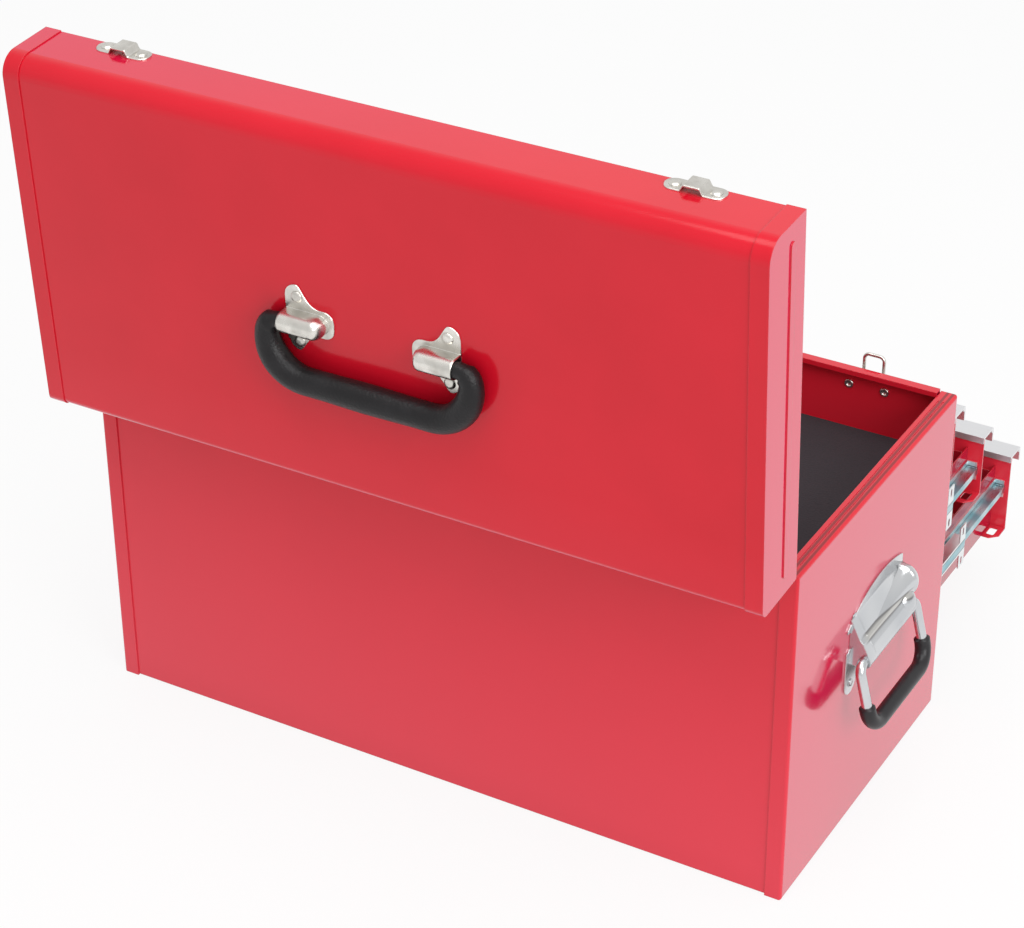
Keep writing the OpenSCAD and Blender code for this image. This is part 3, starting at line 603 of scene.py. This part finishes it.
def rivet_seats(node, facing_of):
    """Seat, facing, radius and height of each rivet head of a CAD node."""
    seats = []
    for corners in islands(node):
        middle = sum(corners, Vector()) / len(corners)
        facing = facing_of(middle).normalized()
        heights = [c.dot(facing) for c in corners]
        seat = middle + facing * (min(heights) - middle.dot(facing))
        radius = max(((c - seat) - facing * (c - seat).dot(facing)).length for c in corners)
        seats.append((seat, facing, radius, max(heights) - min(heights)))
    return seats


# %% Rivets


def set_rivets(name, body, facing_of, material, spread=1.0):
    """Heads on a node's seats, spread wider where the photographed heads are."""
    seats = rivet_seats(nodes[name], facing_of)
    builder = rivet_tree()
    start = point_object(
        name + "_seats", [s[0] for s in seats], facing=[s[1] for s in seats]
    )
    rivets = builder.build(
        name + "_heads",
        start,
        {"Head Radius": seats[0][2] * spread, "Head Height": seats[0][3]},
        body,
    )
    rivets.data.materials.clear()
    rivets.data.materials.append(material)
    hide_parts(name)
    return seats


strike_seats = set_rivets(
    "strike_rivets", "lid", lambda place: lid_front_outward, nickel, spread=1.25
)
set_rivets("carry_bracket_rivets", "lid", lambda place: lid_outward, nickel)
set_rivets("side_bracket_rivets", "cabinet", lambda place: Vector((place.x, 0, 0)), bright)
set_rivets("latch_rivets", "cabinet", lambda place: Vector((0, -1, 0)), nickel)

# %% [markdown]
# The carry handle is one moulding: round stubs turn in the brackets, the legs bend down, and the
# grip swells towards its middle so that it fills a hand. Its shape follows a rule, a thickness
# along a path, so it is swept: the path is worked out below from arcs and lines, Geometry Nodes
# turns it into a curve whose radius follows the thickness, and Curve to Mesh gives it its skin.

# %% Carry handle
PIVOT = Vector((0, 190.65, 372.77)) * MM
HALF_WIDTH = 72.75 * MM
REACH = 38 * MM
LEG_R = 7.25 * MM
GRIP_R = 9.5 * MM
STUB_R = 5.5 * MM
STUB_IN = 38.5 * MM
TOP_BEND = 9 * MM
LOW_BEND = 28 * MM
BARREL_UP = 7.6 * MM
OFF_LID = 0.32 * MM
FINGER_WAVE = 0.25 * MM
LEAN = math.asin((GRIP_R + OFF_LID - BARREL_UP) / REACH)


def handle_outline():
    """Half of the handle's middle line in its own plane, from the stub to the grip's middle."""
    line = [(STUB_IN, 0.0)]
    for i in range(9):
        turn = math.radians(90 * i / 8)
        along = HALF_WIDTH - TOP_BEND * (1 - math.sin(turn))
        line.append((along, TOP_BEND * (1 - math.cos(turn))))
    for i in range(17):
        turn = math.radians(90 * i / 16)
        line.append(
            (
                HALF_WIDTH - LOW_BEND * (1 - math.cos(turn)),
                REACH - LOW_BEND * (1 - math.sin(turn)),
            )
        )
    steps = 12
    start = HALF_WIDTH - LOW_BEND
    line += [(start * (1 - i / steps), REACH) for i in range(1, steps + 1)]
    return line


def thickness(x, y):
    """Radius of the handle at a place of its middle line."""
    if y < 0.1 * TOP_BEND:
        return STUB_R
    swell = min(1.0, y / (0.8 * REACH))
    swell = swell * swell * (3 - 2 * swell)
    finger = FINGER_WAVE * math.cos(2 * math.pi * x / HALF_WIDTH) * swell
    return LEG_R + (GRIP_R - FINGER_WAVE - LEG_R) * swell + finger


def handle_point(x, y):
    """A place of the handle's plane on the open lid: y runs from the pivot to the grip."""
    flat = Vector((x, y * math.cos(LEAN), y * math.sin(LEAN)))
    return PIVOT + Matrix.Rotation(-LID_ANGLE, 3, "X") @ flat


def sweep_path(name, places, radii):
    """A line of points that carries the skin's radius at each of them."""
    mesh = bpy.data.meshes.new(name)
    mesh.from_pydata(places, [(i, i + 1) for i in range(len(places) - 1)], [])
    mesh.attributes.new("thickness", "FLOAT", "POINT").data.foreach_set("value", radii)
    path = bpy.data.objects.new(name, mesh)
    bpy.context.scene.collection.objects.link(path)
    return path


def sweep_tree(name, material):
    b = Builder(name, ["Skin Scale"])
    curve = b.add("GeometryNodeMeshToCurve", None, {0: b.inputs["Points"]})[0]
    thick = b.add(
        "GeometryNodeInputNamedAttribute", {"data_type": "FLOAT"}, {"Name": "thickness"}
    )[0]
    curve = b.add("GeometryNodeSetCurveRadius", None, {"Curve": curve, "Radius": thick})[0]
    curve = b.add(
        "GeometryNodeResampleCurve", {"mode": "COUNT"}, {"Curve": curve, "Count": 160}
    )[0]
    round_size = {"Resolution": 40, "Radius": b.inputs["Skin Scale"]}
    values = {
        "Curve": curve,
        "Profile Curve": b.add("GeometryNodeCurvePrimitiveCircle", None, round_size)[0],
        "Scale": b.add("GeometryNodeInputRadius")[0],
        "Fill Caps": True,
    }
    skin = b.add("GeometryNodeCurveToMesh", None, values)[0]
    b.end(skin, material)
    return b


half = handle_outline()
whole = half + [(-x, y) for x, y in reversed(half[:-1])]
handle_path = sweep_path(
    "handle_path",
    [handle_point(x, y) for x, y in whole],
    [thickness(abs(x), y) for x, y in whole],
)
carry_handle = sweep_tree("moulded_sweep", grained).build(
    "carry_handle_moulding", handle_path, {"Skin Scale": 1.0}, "carry_handle"
)
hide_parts("carry_handle")

# %% [markdown]
# The grips of the side handles are made by dipping the bent rod in liquid plastic up to the foot of
# its legs. The skin follows the rod at an even thickness and thins out where it leaves the bath, so
# the same sweep is used, along the rod's own middle line.

# %% Dipped grips
SIDE_PIVOT = Vector((272.5, 0, 139.0)) * MM
ROD_HALF = 45 * MM
ROD_REACH = 46.4 * MM
ROD_BEND = 14 * MM
ROD_LEAN = math.radians(13.97)
DIP_R = 5.5 * MM
DIP_NECK_R = 5 * MM
DIP_LIP_R = 3.9 * MM
DIP_UP = 3 * MM
LIP_STEPS = (0, 0.1, 0.25, 0.5, 1)


def dipped_line():
    """The rod's middle line under the skin: along the chest, and down from the pivot."""
    leg = ROD_REACH - ROD_BEND - DIP_UP
    line = [(ROD_HALF, leg + share * DIP_UP) for share in LIP_STEPS]
    for i in range(1, 13):
        turn = math.radians(90 * i / 12)
        line.append(
            (
                ROD_HALF - ROD_BEND * (1 - math.cos(turn)),
                ROD_REACH - ROD_BEND * (1 - math.sin(turn)),
            )
        )
    line += [((ROD_HALF - ROD_BEND) * (1 - i / 8), ROD_REACH) for i in range(1, 9)]
    return line + [(-along, down) for along, down in reversed(line[:-1])]


def dipped_grip(side, name, body):
    line = dipped_line()
    places = [
        Vector(
            (
                side * (SIDE_PIVOT.x + down * math.sin(ROD_LEAN)),
                along,
                SIDE_PIVOT.z - down * math.cos(ROD_LEAN),
            )
        )
        for along, down in line
    ]
    radii = [DIP_R] * len(line)
    radii[0] = radii[-1] = DIP_LIP_R
    radii[1] = radii[-2] = DIP_NECK_R
    path = sweep_path(name + "_line", places, radii)
    tree = sweep_tree(name + "_sweep", dipped)
    grip = tree.build(name + "_skin", path, {"Skin Scale": 1.0}, body)
    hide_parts(name)


dipped_grip(-1, "side_grip_left", "bail_left")
dipped_grip(1, "side_grip_right", "bail_right")

# %% [markdown]
# A stamping whose form is a formula over its length and width is made straight from points and
# faces. This helper turns them into an object.

# %% Formed piece


def formed_piece(name, points, faces, material, smooth=None):
    """An object from points and faces. The smooth list says which faces are shaded round."""
    mesh = bpy.data.meshes.new(name)
    mesh.from_pydata(points, [], faces)
    if smooth:
        mesh.polygons.foreach_set("use_smooth", smooth)
    mesh.materials.append(material)
    piece = bpy.data.objects.new(name, mesh)
    bpy.context.scene.collection.objects.link(piece)
    print(name, len(points), "points", len(faces), "faces")
    return piece


# %% [markdown]
# A press forms the side handle's bracket. From the flat plate it raises a slope, a narrow ridge
# with a crease on each side, and a bulge that is a round dome at the front and tapers off to the
# rear, which stiffens the sheet over the rod. Such a stamping has one height over each place of the
# plate, so it is a grid whose height is the highest of these forms, blended as sheet bends. The
# slope is a list of heights above the pivot and the distances that it stands off the panel there.

# %% Pressed bulge of the side brackets
DOME_R = 12 * MM
DOME_OUT = 3 * MM
DOME_Y = -37 * MM
DOME_UP = 17 * MM
TAPER_R = 5 * MM
TAPER_LEN = 64 * MM
TAPER_DROP = math.tan(math.radians(7))
SLOPE = [(31, 0.9), (29, 1.3), (17.2, 7.0), (15.2, 8.6), (12.4, 10.4), (8.0, 13.2), (2.6, 15.6)]
SHEET_BLEND = 2.5 * MM
DOME_EDGE = 3 * MM
OVER_HOOD = 0.15 * MM
CREASES = [height - SIDE_PIVOT.z for height in CREASE_Z]
CREASE_DEEP = 0.9 * MM
CREASE_WIDE = 0.75 * MM
HOOD_END = 37 * MM
REAR_RUNOUT = 9 * MM
FRONT_RUNOUT = 5 * MM
GRID_START = (-50 * MM, 3 * MM)
GRID_SIZE = (88 * MM, 28 * MM)


def slope_out(up):
    """How far the hood's slope stands off the panel at a height above the pivot."""
    for (high, near), (low, far) in zip(SLOPE, SLOPE[1:]):
        if up >= low * MM:
            share = (high * MM - up) / ((high - low) * MM)
            return (near + (far - near) * min(1.0, max(0.0, share))) * MM
    return SLOPE[-1][1] * MM


def soft_max(first, second, blend):
    spread = max(blend - abs(first - second), 0.0) / blend
    return max(first, second) + spread * spread * blend / 4


def pressed_out(along, up):
    """Height of the pressed sheet over the panel, at a place along and above the pivot."""
    ends = min(1.0, max(0.0, (HOOD_END - along) / REAR_RUNOUT))
    ends *= min(1.0, max(0.0, (along + HOOD_END) / FRONT_RUNOUT))
    ends = ends * ends * (3 - 2 * ends)
    out = slope_out(up) * ends
    for crease in CREASES:
        out -= CREASE_DEEP * ends * math.exp(-(((up - crease) / CREASE_WIDE) ** 2))
    share = min(1.0, max(0.0, (along - DOME_Y) / TAPER_LEN))
    radius = DOME_R + (TAPER_R - DOME_R) * math.sqrt(share)
    middle = DOME_UP - max(0.0, along - DOME_Y) * TAPER_DROP
    beyond = min(0.0, along - DOME_Y) + max(0.0, along - DOME_Y - TAPER_LEN)
    inside = radius**2 - (up - middle) ** 2 - beyond**2
    if inside > 0:
        bulge = DOME_OUT * min(1.0, inside / DOME_EDGE**2) + math.sqrt(inside)
        out = soft_max(out, bulge, SHEET_BLEND)
    return out


def pressed_bulge(side, name):
    columns, rows = 118, 56
    points, faces = [], []
    for i in range(columns + 1):
        along = GRID_START[0] + GRID_SIZE[0] * i / columns
        for j in range(rows + 1):
            up = GRID_START[1] + GRID_SIZE[1] * j / rows
            out = max(0.0, pressed_out(along, up)) + OVER_HOOD
            points.append((side * (HALF_W + out), along, SIDE_PIVOT.z + up))
    for i in range(columns):
        for j in range(rows):
            a = i * (rows + 1) + j
            corners = (a, a + rows + 1, a + rows + 2, a + 1)
            if max(abs(points[c][0]) for c in corners) < HALF_W + 2 * OVER_HOOD:
                continue
            faces.append(corners if side > 0 else corners[::-1])
    bulge = formed_piece(name, points, faces, bright, [True] * len(faces))
    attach(bulge, "cabinet")


pressed_bulge(-1, "side_bracket_bulge_left")
pressed_bulge(1, "side_bracket_bulge_right")

# %% [markdown]
# A carry handle bracket is one stamping too. Its plate has a tab with a rivet above and a smaller
# one below, joined to the middle by concave curves, and its barrel is pressed up as a half round
# whose inner end closes in a dome. The plate is drawn as an upper and a lower edge over the width,
# and the barrel as one section that shrinks towards the dome, with an inner skin for the stub.

# %% Carry handle brackets
BARREL_IN = 31.5 * MM
BARREL_OUT = 62 * MM
BARREL_R = 6.8 * MM
BARREL_SKIN = 1.0 * MM
DOME_CLOSED = 0.04
BRACKET_T = 1.2 * MM
LOBE_IN = 28.0 * MM
LOBE_HALF = 9.4 * MM
LOBE_CORNER = 7 * MM
TAB_FOOT = 36 * MM
TAB_X = 54 * MM
TAB_RIVET = 15.75 * MM
UPPER_TAB_R = 8 * MM
LOWER_TAB_R = 6.5 * MM
DENT_X = 47 * MM
DENT_HALF = 8 * MM
DENT_DEEP = 0.7 * MM


def plate_edge(x, tab_radius):
    """Height of the plate's edge over the barrel's axis, at a distance from the middle."""
    nearer = max(0.0, LOBE_IN + LOBE_CORNER - x)
    lobe = LOBE_HALF - LOBE_CORNER + math.sqrt(max(0.0, LOBE_CORNER**2 - nearer**2))
    rise = min(1.0, max(0.0, (x - TAB_FOOT) / (TAB_X - TAB_FOOT)))
    rise = math.sin(math.pi / 2 * rise**3)
    tip = TAB_RIVET + math.sqrt(max(0.0, tab_radius**2 - max(0.0, x - TAB_X) ** 2))
    return min(tip, lobe + (TAB_RIVET + tab_radius - lobe) * rise)


def lid_place(x, along, out):
    """A place on the open lid from the handle's pivot: along the lid, and out from its top."""
    return PIVOT + Matrix.Rotation(-LID_ANGLE, 3, "X") @ Vector((x, along, out - BARREL_UP))


def bracket_points(side):
    """Points and faces of one bracket: the plate, then the barrel's outer and inner skin."""
    points, faces = [], []
    stations = [LOBE_IN + (BARREL_OUT - LOBE_IN) * i / 60 for i in range(61)]
    rim = [(x, -plate_edge(x, UPPER_TAB_R)) for x in stations]
    rim += [(x, plate_edge(x, LOWER_TAB_R)) for x in reversed(stations)]
    for out in (0.0, BRACKET_T):
        points += [lid_place(side * x, along, out) for x, along in rim]
    count = len(rim)
    faces.append(tuple(range(count, 2 * count)))
    faces += [(i, (i + 1) % count, count + (i + 1) % count, count + i) for i in range(count)]
    around = 25
    lengths = 36
    for skin in (0.0, BARREL_SKIN):
        base = len(points)
        for i in range(lengths + 1):
            x = BARREL_IN + skin + (BARREL_OUT - BARREL_IN - skin) * (i / lengths) ** 1.6
            into = min(1.0, (x - BARREL_IN - skin) / BARREL_R)
            close = max(DOME_CLOSED, math.sqrt(into * (2 - into)))
            for k in range(around + 2):
                turn = min(math.pi, max(0.0, math.pi * (k - 1) / (around - 1)))
                wide = (BARREL_R - skin) * math.cos(turn)
                high = BARREL_UP + (BARREL_R - skin) * math.sin(turn)
                if skin == 0.0:
                    here = (x - DENT_X) / DENT_HALF, (turn - math.pi * 0.42) / 0.32
                    high -= DENT_DEEP * math.exp(-(here[0] ** 4) - here[1] ** 2)
                if k in (0, around + 1):
                    high = 0.0
                points.append(lid_place(side * x, wide * close, high * close))
        row = around + 2
        for i in range(lengths):
            for k in range(row - 1):
                a = base + i * row + k
                quad = (a, a + 1, a + row + 1, a + row)
                faces.append(quad if skin == 0.0 else quad[::-1])
    outer = base - row
    inner = len(points) - row
    faces += [(outer + k, outer + k + 1, inner + k + 1, inner + k) for k in range(row - 1)]
    if side > 0:
        faces = [face[::-1] for face in faces]
    return points, faces


points, faces = [], []
for side in (-1, 1):
    more, skins = bracket_points(side)
    faces += [tuple(corner + len(points) for corner in face) for face in skins]
    points += more
curved = [len(face) == 4 for face in faces]
carry_brackets = formed_piece("carry_bracket_stampings", points, faces, nickel, curved)
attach(carry_brackets, "lid")
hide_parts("carry_brackets")

# %% [markdown]
# A strike is a strip with round ends, whose middle is pressed up into a hump that the latch's wire
# loop pulls on. One rule gives its half width and one its height along the strip, so its upper and
# lower skins are two grids that meet at the edges.

# %% Strikes
STRIKE_HALF = 19.5 * MM
STRIKE_END_R = 6.5 * MM
STRIKE_T = 1.2 * MM
STRIKE_TIP = 0.2 * MM
STRIKE_EDGE = 0.35 * MM
HUMP_HIGH = 3.9 * MM
HUMP_FLAT = 4.8 * MM
HUMP_FOOT = 7.6 * MM
ACROSS = (-1.0, -0.88, -0.4, 0.4, 0.88, 1.0)


def strike_width(along):
    beyond = max(0.0, abs(along) - (STRIKE_HALF - STRIKE_END_R))
    return math.sqrt(max(0.0, STRIKE_END_R**2 - beyond**2)) + STRIKE_TIP


def strike_rise(along):
    share = min(1.0, max(0.0, (HUMP_FOOT - abs(along)) / (HUMP_FOOT - HUMP_FLAT)))
    return HUMP_HIGH * share * share * (3 - 2 * share)


points, faces = [], []
across_lid = lid_front_outward.cross(Vector((1, 0, 0)))
lengths = 72
for side in (-1, 1):
    pair = [s[0] for s in strike_seats if s[0].x * side > 0]
    centre = (pair[0] + pair[1]) / 2 - lid_front_outward * STRIKE_T
    base = len(points)
    for skin in (0, 1):
        for i in range(lengths + 1):
            along = STRIKE_HALF * (2 * i / lengths - 1)
            for share in ACROSS:
                edge = STRIKE_EDGE if abs(share) == 1.0 else 0.0
                out = strike_rise(along) + (STRIKE_T - edge if skin else 0.0)
                where = centre + Vector((1, 0, 0)) * along + lid_front_outward * out
                points.append(where + across_lid * strike_width(along) * share)
    row = len(ACROSS)
    lower, upper = base, base + (lengths + 1) * row
    for i in range(lengths):
        for k in range(row - 1):
            a = i * row + k
            quad = (a, a + row, a + row + 1, a + 1)
            faces.append(tuple(upper + c for c in quad))
            faces.append(tuple(lower + c for c in quad[::-1]))
        for k, turn in ((0, 1), (row - 1, -1)):
            a, b = i * row + k, (i + 1) * row + k
            faces.append((lower + a, lower + b, upper + b, upper + a)[::turn])
    for i, turn in ((0, -1), (lengths, 1)):
        for k in range(row - 1):
            a = i * row + k
            faces.append((lower + a, lower + a + 1, upper + a + 1, upper + a)[::turn])
strikes = formed_piece("strike_stampings", points, faces, nickel)
strikes.data.validate()
outward = bmesh.new()
outward.from_mesh(strikes.data)
bmesh.ops.recalc_face_normals(outward, faces=outward.faces)
outward.to_mesh(strikes.data)
outward.free()
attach(strikes, "lid")
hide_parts("lid_strikes")

# %% [markdown]
# Inside the front wall the latches' tubular rivets end in rolled rings. Each ring is a small
# profile turned about its rivet, so a formula places its points round the hole.

# %% Rivet rings inside the front wall
RING_PLACES = [(x * MM, 240.0 * MM) for x in (-210.0, -184.0, 184.0, 210.0)]
RING_PROFILE = [
    (3.1, 0.0),
    (3.3, 0.5),
    (2.9, 1.0),
    (2.3, 1.1),
    (1.7, 0.8),
    (1.4, 0.2),
    (0.0, 0.1),
]
WALL_INSIDE_Y = -123.5 * MM
points, faces = [], []
turns = 28
for x, z in RING_PLACES:
    base = len(points)
    for radius, out in RING_PROFILE:
        for k in range(turns):
            turn = 2 * math.pi * k / turns
            wide, high = radius * MM * math.cos(turn), radius * MM * math.sin(turn)
            points.append((x + wide, WALL_INSIDE_Y + out * MM, z + high))
    for i in range(len(RING_PROFILE) - 1):
        for k in range(turns):
            a, b = base + i * turns + k, base + i * turns + (k + 1) % turns
            faces.append((a, a + turns, b + turns, b))
rivet_rings = formed_piece("latch_rivet_rings", points, faces, nickel, [True] * len(faces))
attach(rivet_rings, "cabinet")

# %% [markdown]
# The camera stands where the photograph was taken from, which was worked out from the chest's own
# corners. It is given as a place, a viewing direction and a small roll.

# %% Camera
CAMERA_PLACE = Vector((-0.8368, 1.4713, 1.2260))
CAMERA_AIM = Vector((0.14230, -0.23092, 0.01996))
CAMERA_ROLL = math.radians(-0.347)
SENSOR_MM, LENS_MM = 36, 102.07
forward = (CAMERA_AIM - CAMERA_PLACE).normalized()
level = forward.cross(Vector((0, 0, 1))).normalized()
upright = level.cross(forward)
right = math.cos(CAMERA_ROLL) * level + math.sin(CAMERA_ROLL) * upright
up = math.cos(CAMERA_ROLL) * upright - math.sin(CAMERA_ROLL) * level

camera_data = bpy.data.cameras.new("camera")
camera_data.sensor_width = SENSOR_MM
camera_data.lens = LENS_MM
camera = bpy.data.objects.new("camera", camera_data)
bpy.context.scene.collection.objects.link(camera)
turn = Matrix((right, up, -forward)).transposed().to_4x4()
camera.matrix_world = Matrix.Translation(CAMERA_PLACE) @ turn
bpy.context.scene.camera = camera
print("camera", round((CAMERA_AIM - CAMERA_PLACE).length, 3), "m away")

# %% [markdown]
# The studio is plain: a pale floor, an even sky and two large soft lamps. The background looks
# white because the floor glows white for camera rays and for the rays that gloss reflects. The rest
# of the floor's look is its ordinary shading, which keeps the chest's soft shadow.

# %% Studio
FLOOR_HALF = 12.0
FLOOR_Z = -0.0005
FLOOR_GLOW = 0.88
SKY_LIGHT, SKY_SEEN = 0.7, 1.0


def studio_floor():
    f = Finish("pale_floor")
    rays = f.add("ShaderNodeLightPath").outputs
    seen = Field(f, rays["Is Camera Ray"]) + Field(f, rays["Is Glossy Ray"])
    seen = (seen + Field(f, rays["Is Transmission Ray"])).maths("MINIMUM", 1.0)
    cloud = f.noise(0.4, 2)
    colour = f.blend(cloud, (0.84, 0.84, 0.84, 1), (0.88, 0.88, 0.88, 1))
    matt = f.add("ShaderNodeBsdfDiffuse", None, {"Color": colour})
    glow = f.add("ShaderNodeEmission", None, {"Color": (1, 1, 1, 1), "Strength": 1.0})
    both = f.add("ShaderNodeMixShader", None, {0: seen * FLOOR_GLOW})
    f.tree.links.new(matt.outputs[0], both.inputs[1])
    f.tree.links.new(glow.outputs[0], both.inputs[2])
    output = f.add("ShaderNodeOutputMaterial")
    f.tree.links.new(both.outputs[0], output.inputs[0])
    return f.material


def lamp(name, place, aim, size, power):
    data = bpy.data.lights.new(name, "AREA")
    data.shape = "DISK"
    data.size = size
    data.energy = power
    made = bpy.data.objects.new(name, data)
    bpy.context.scene.collection.objects.link(made)
    made.location = place
    made.rotation_mode = "QUATERNION"
    made.rotation_quaternion = (Vector(aim) - Vector(place)).to_track_quat("-Z", "Y")


signs = ((-1, -1), (1, -1), (1, 1), (-1, 1))
corners = [(x * FLOOR_HALF, y * FLOOR_HALF, FLOOR_Z) for x, y in signs]
floor = formed_piece("studio_floor", corners, [(0, 1, 2, 3)], studio_floor())

lamp("soft_top", (-0.4, 0.5, 2.6), (0, 0, 0.2), size=2.4, power=36)
lamp("soft_side", (-2.4, 1.2, 1.6), (0, 0, 0.2), size=1.8, power=32)

world = bpy.data.worlds.new("studio_sky")
world.use_nodes = True
sky = world.node_tree
sky.nodes.clear()
rays = sky.nodes.new("ShaderNodeLightPath")
seen = sky.nodes.new("ShaderNodeMath")
seen.operation = "MAXIMUM"
sky.links.new(rays.outputs["Is Camera Ray"], seen.inputs[0])
sky.links.new(rays.outputs["Is Glossy Ray"], seen.inputs[1])
strength = sky.nodes.new("ShaderNodeMapRange")
strength.inputs["To Min"].default_value = SKY_LIGHT
strength.inputs["To Max"].default_value = SKY_SEEN
sky.links.new(seen.outputs[0], strength.inputs["Value"])
glow = sky.nodes.new("ShaderNodeBackground")
sky.links.new(strength.outputs[0], glow.inputs["Strength"])
sky_output = sky.nodes.new("ShaderNodeOutputWorld")
sky.links.new(glow.outputs[0], sky_output.inputs[0])
bpy.context.scene.world = world
bpy.context.scene.view_settings.view_transform = "Standard"
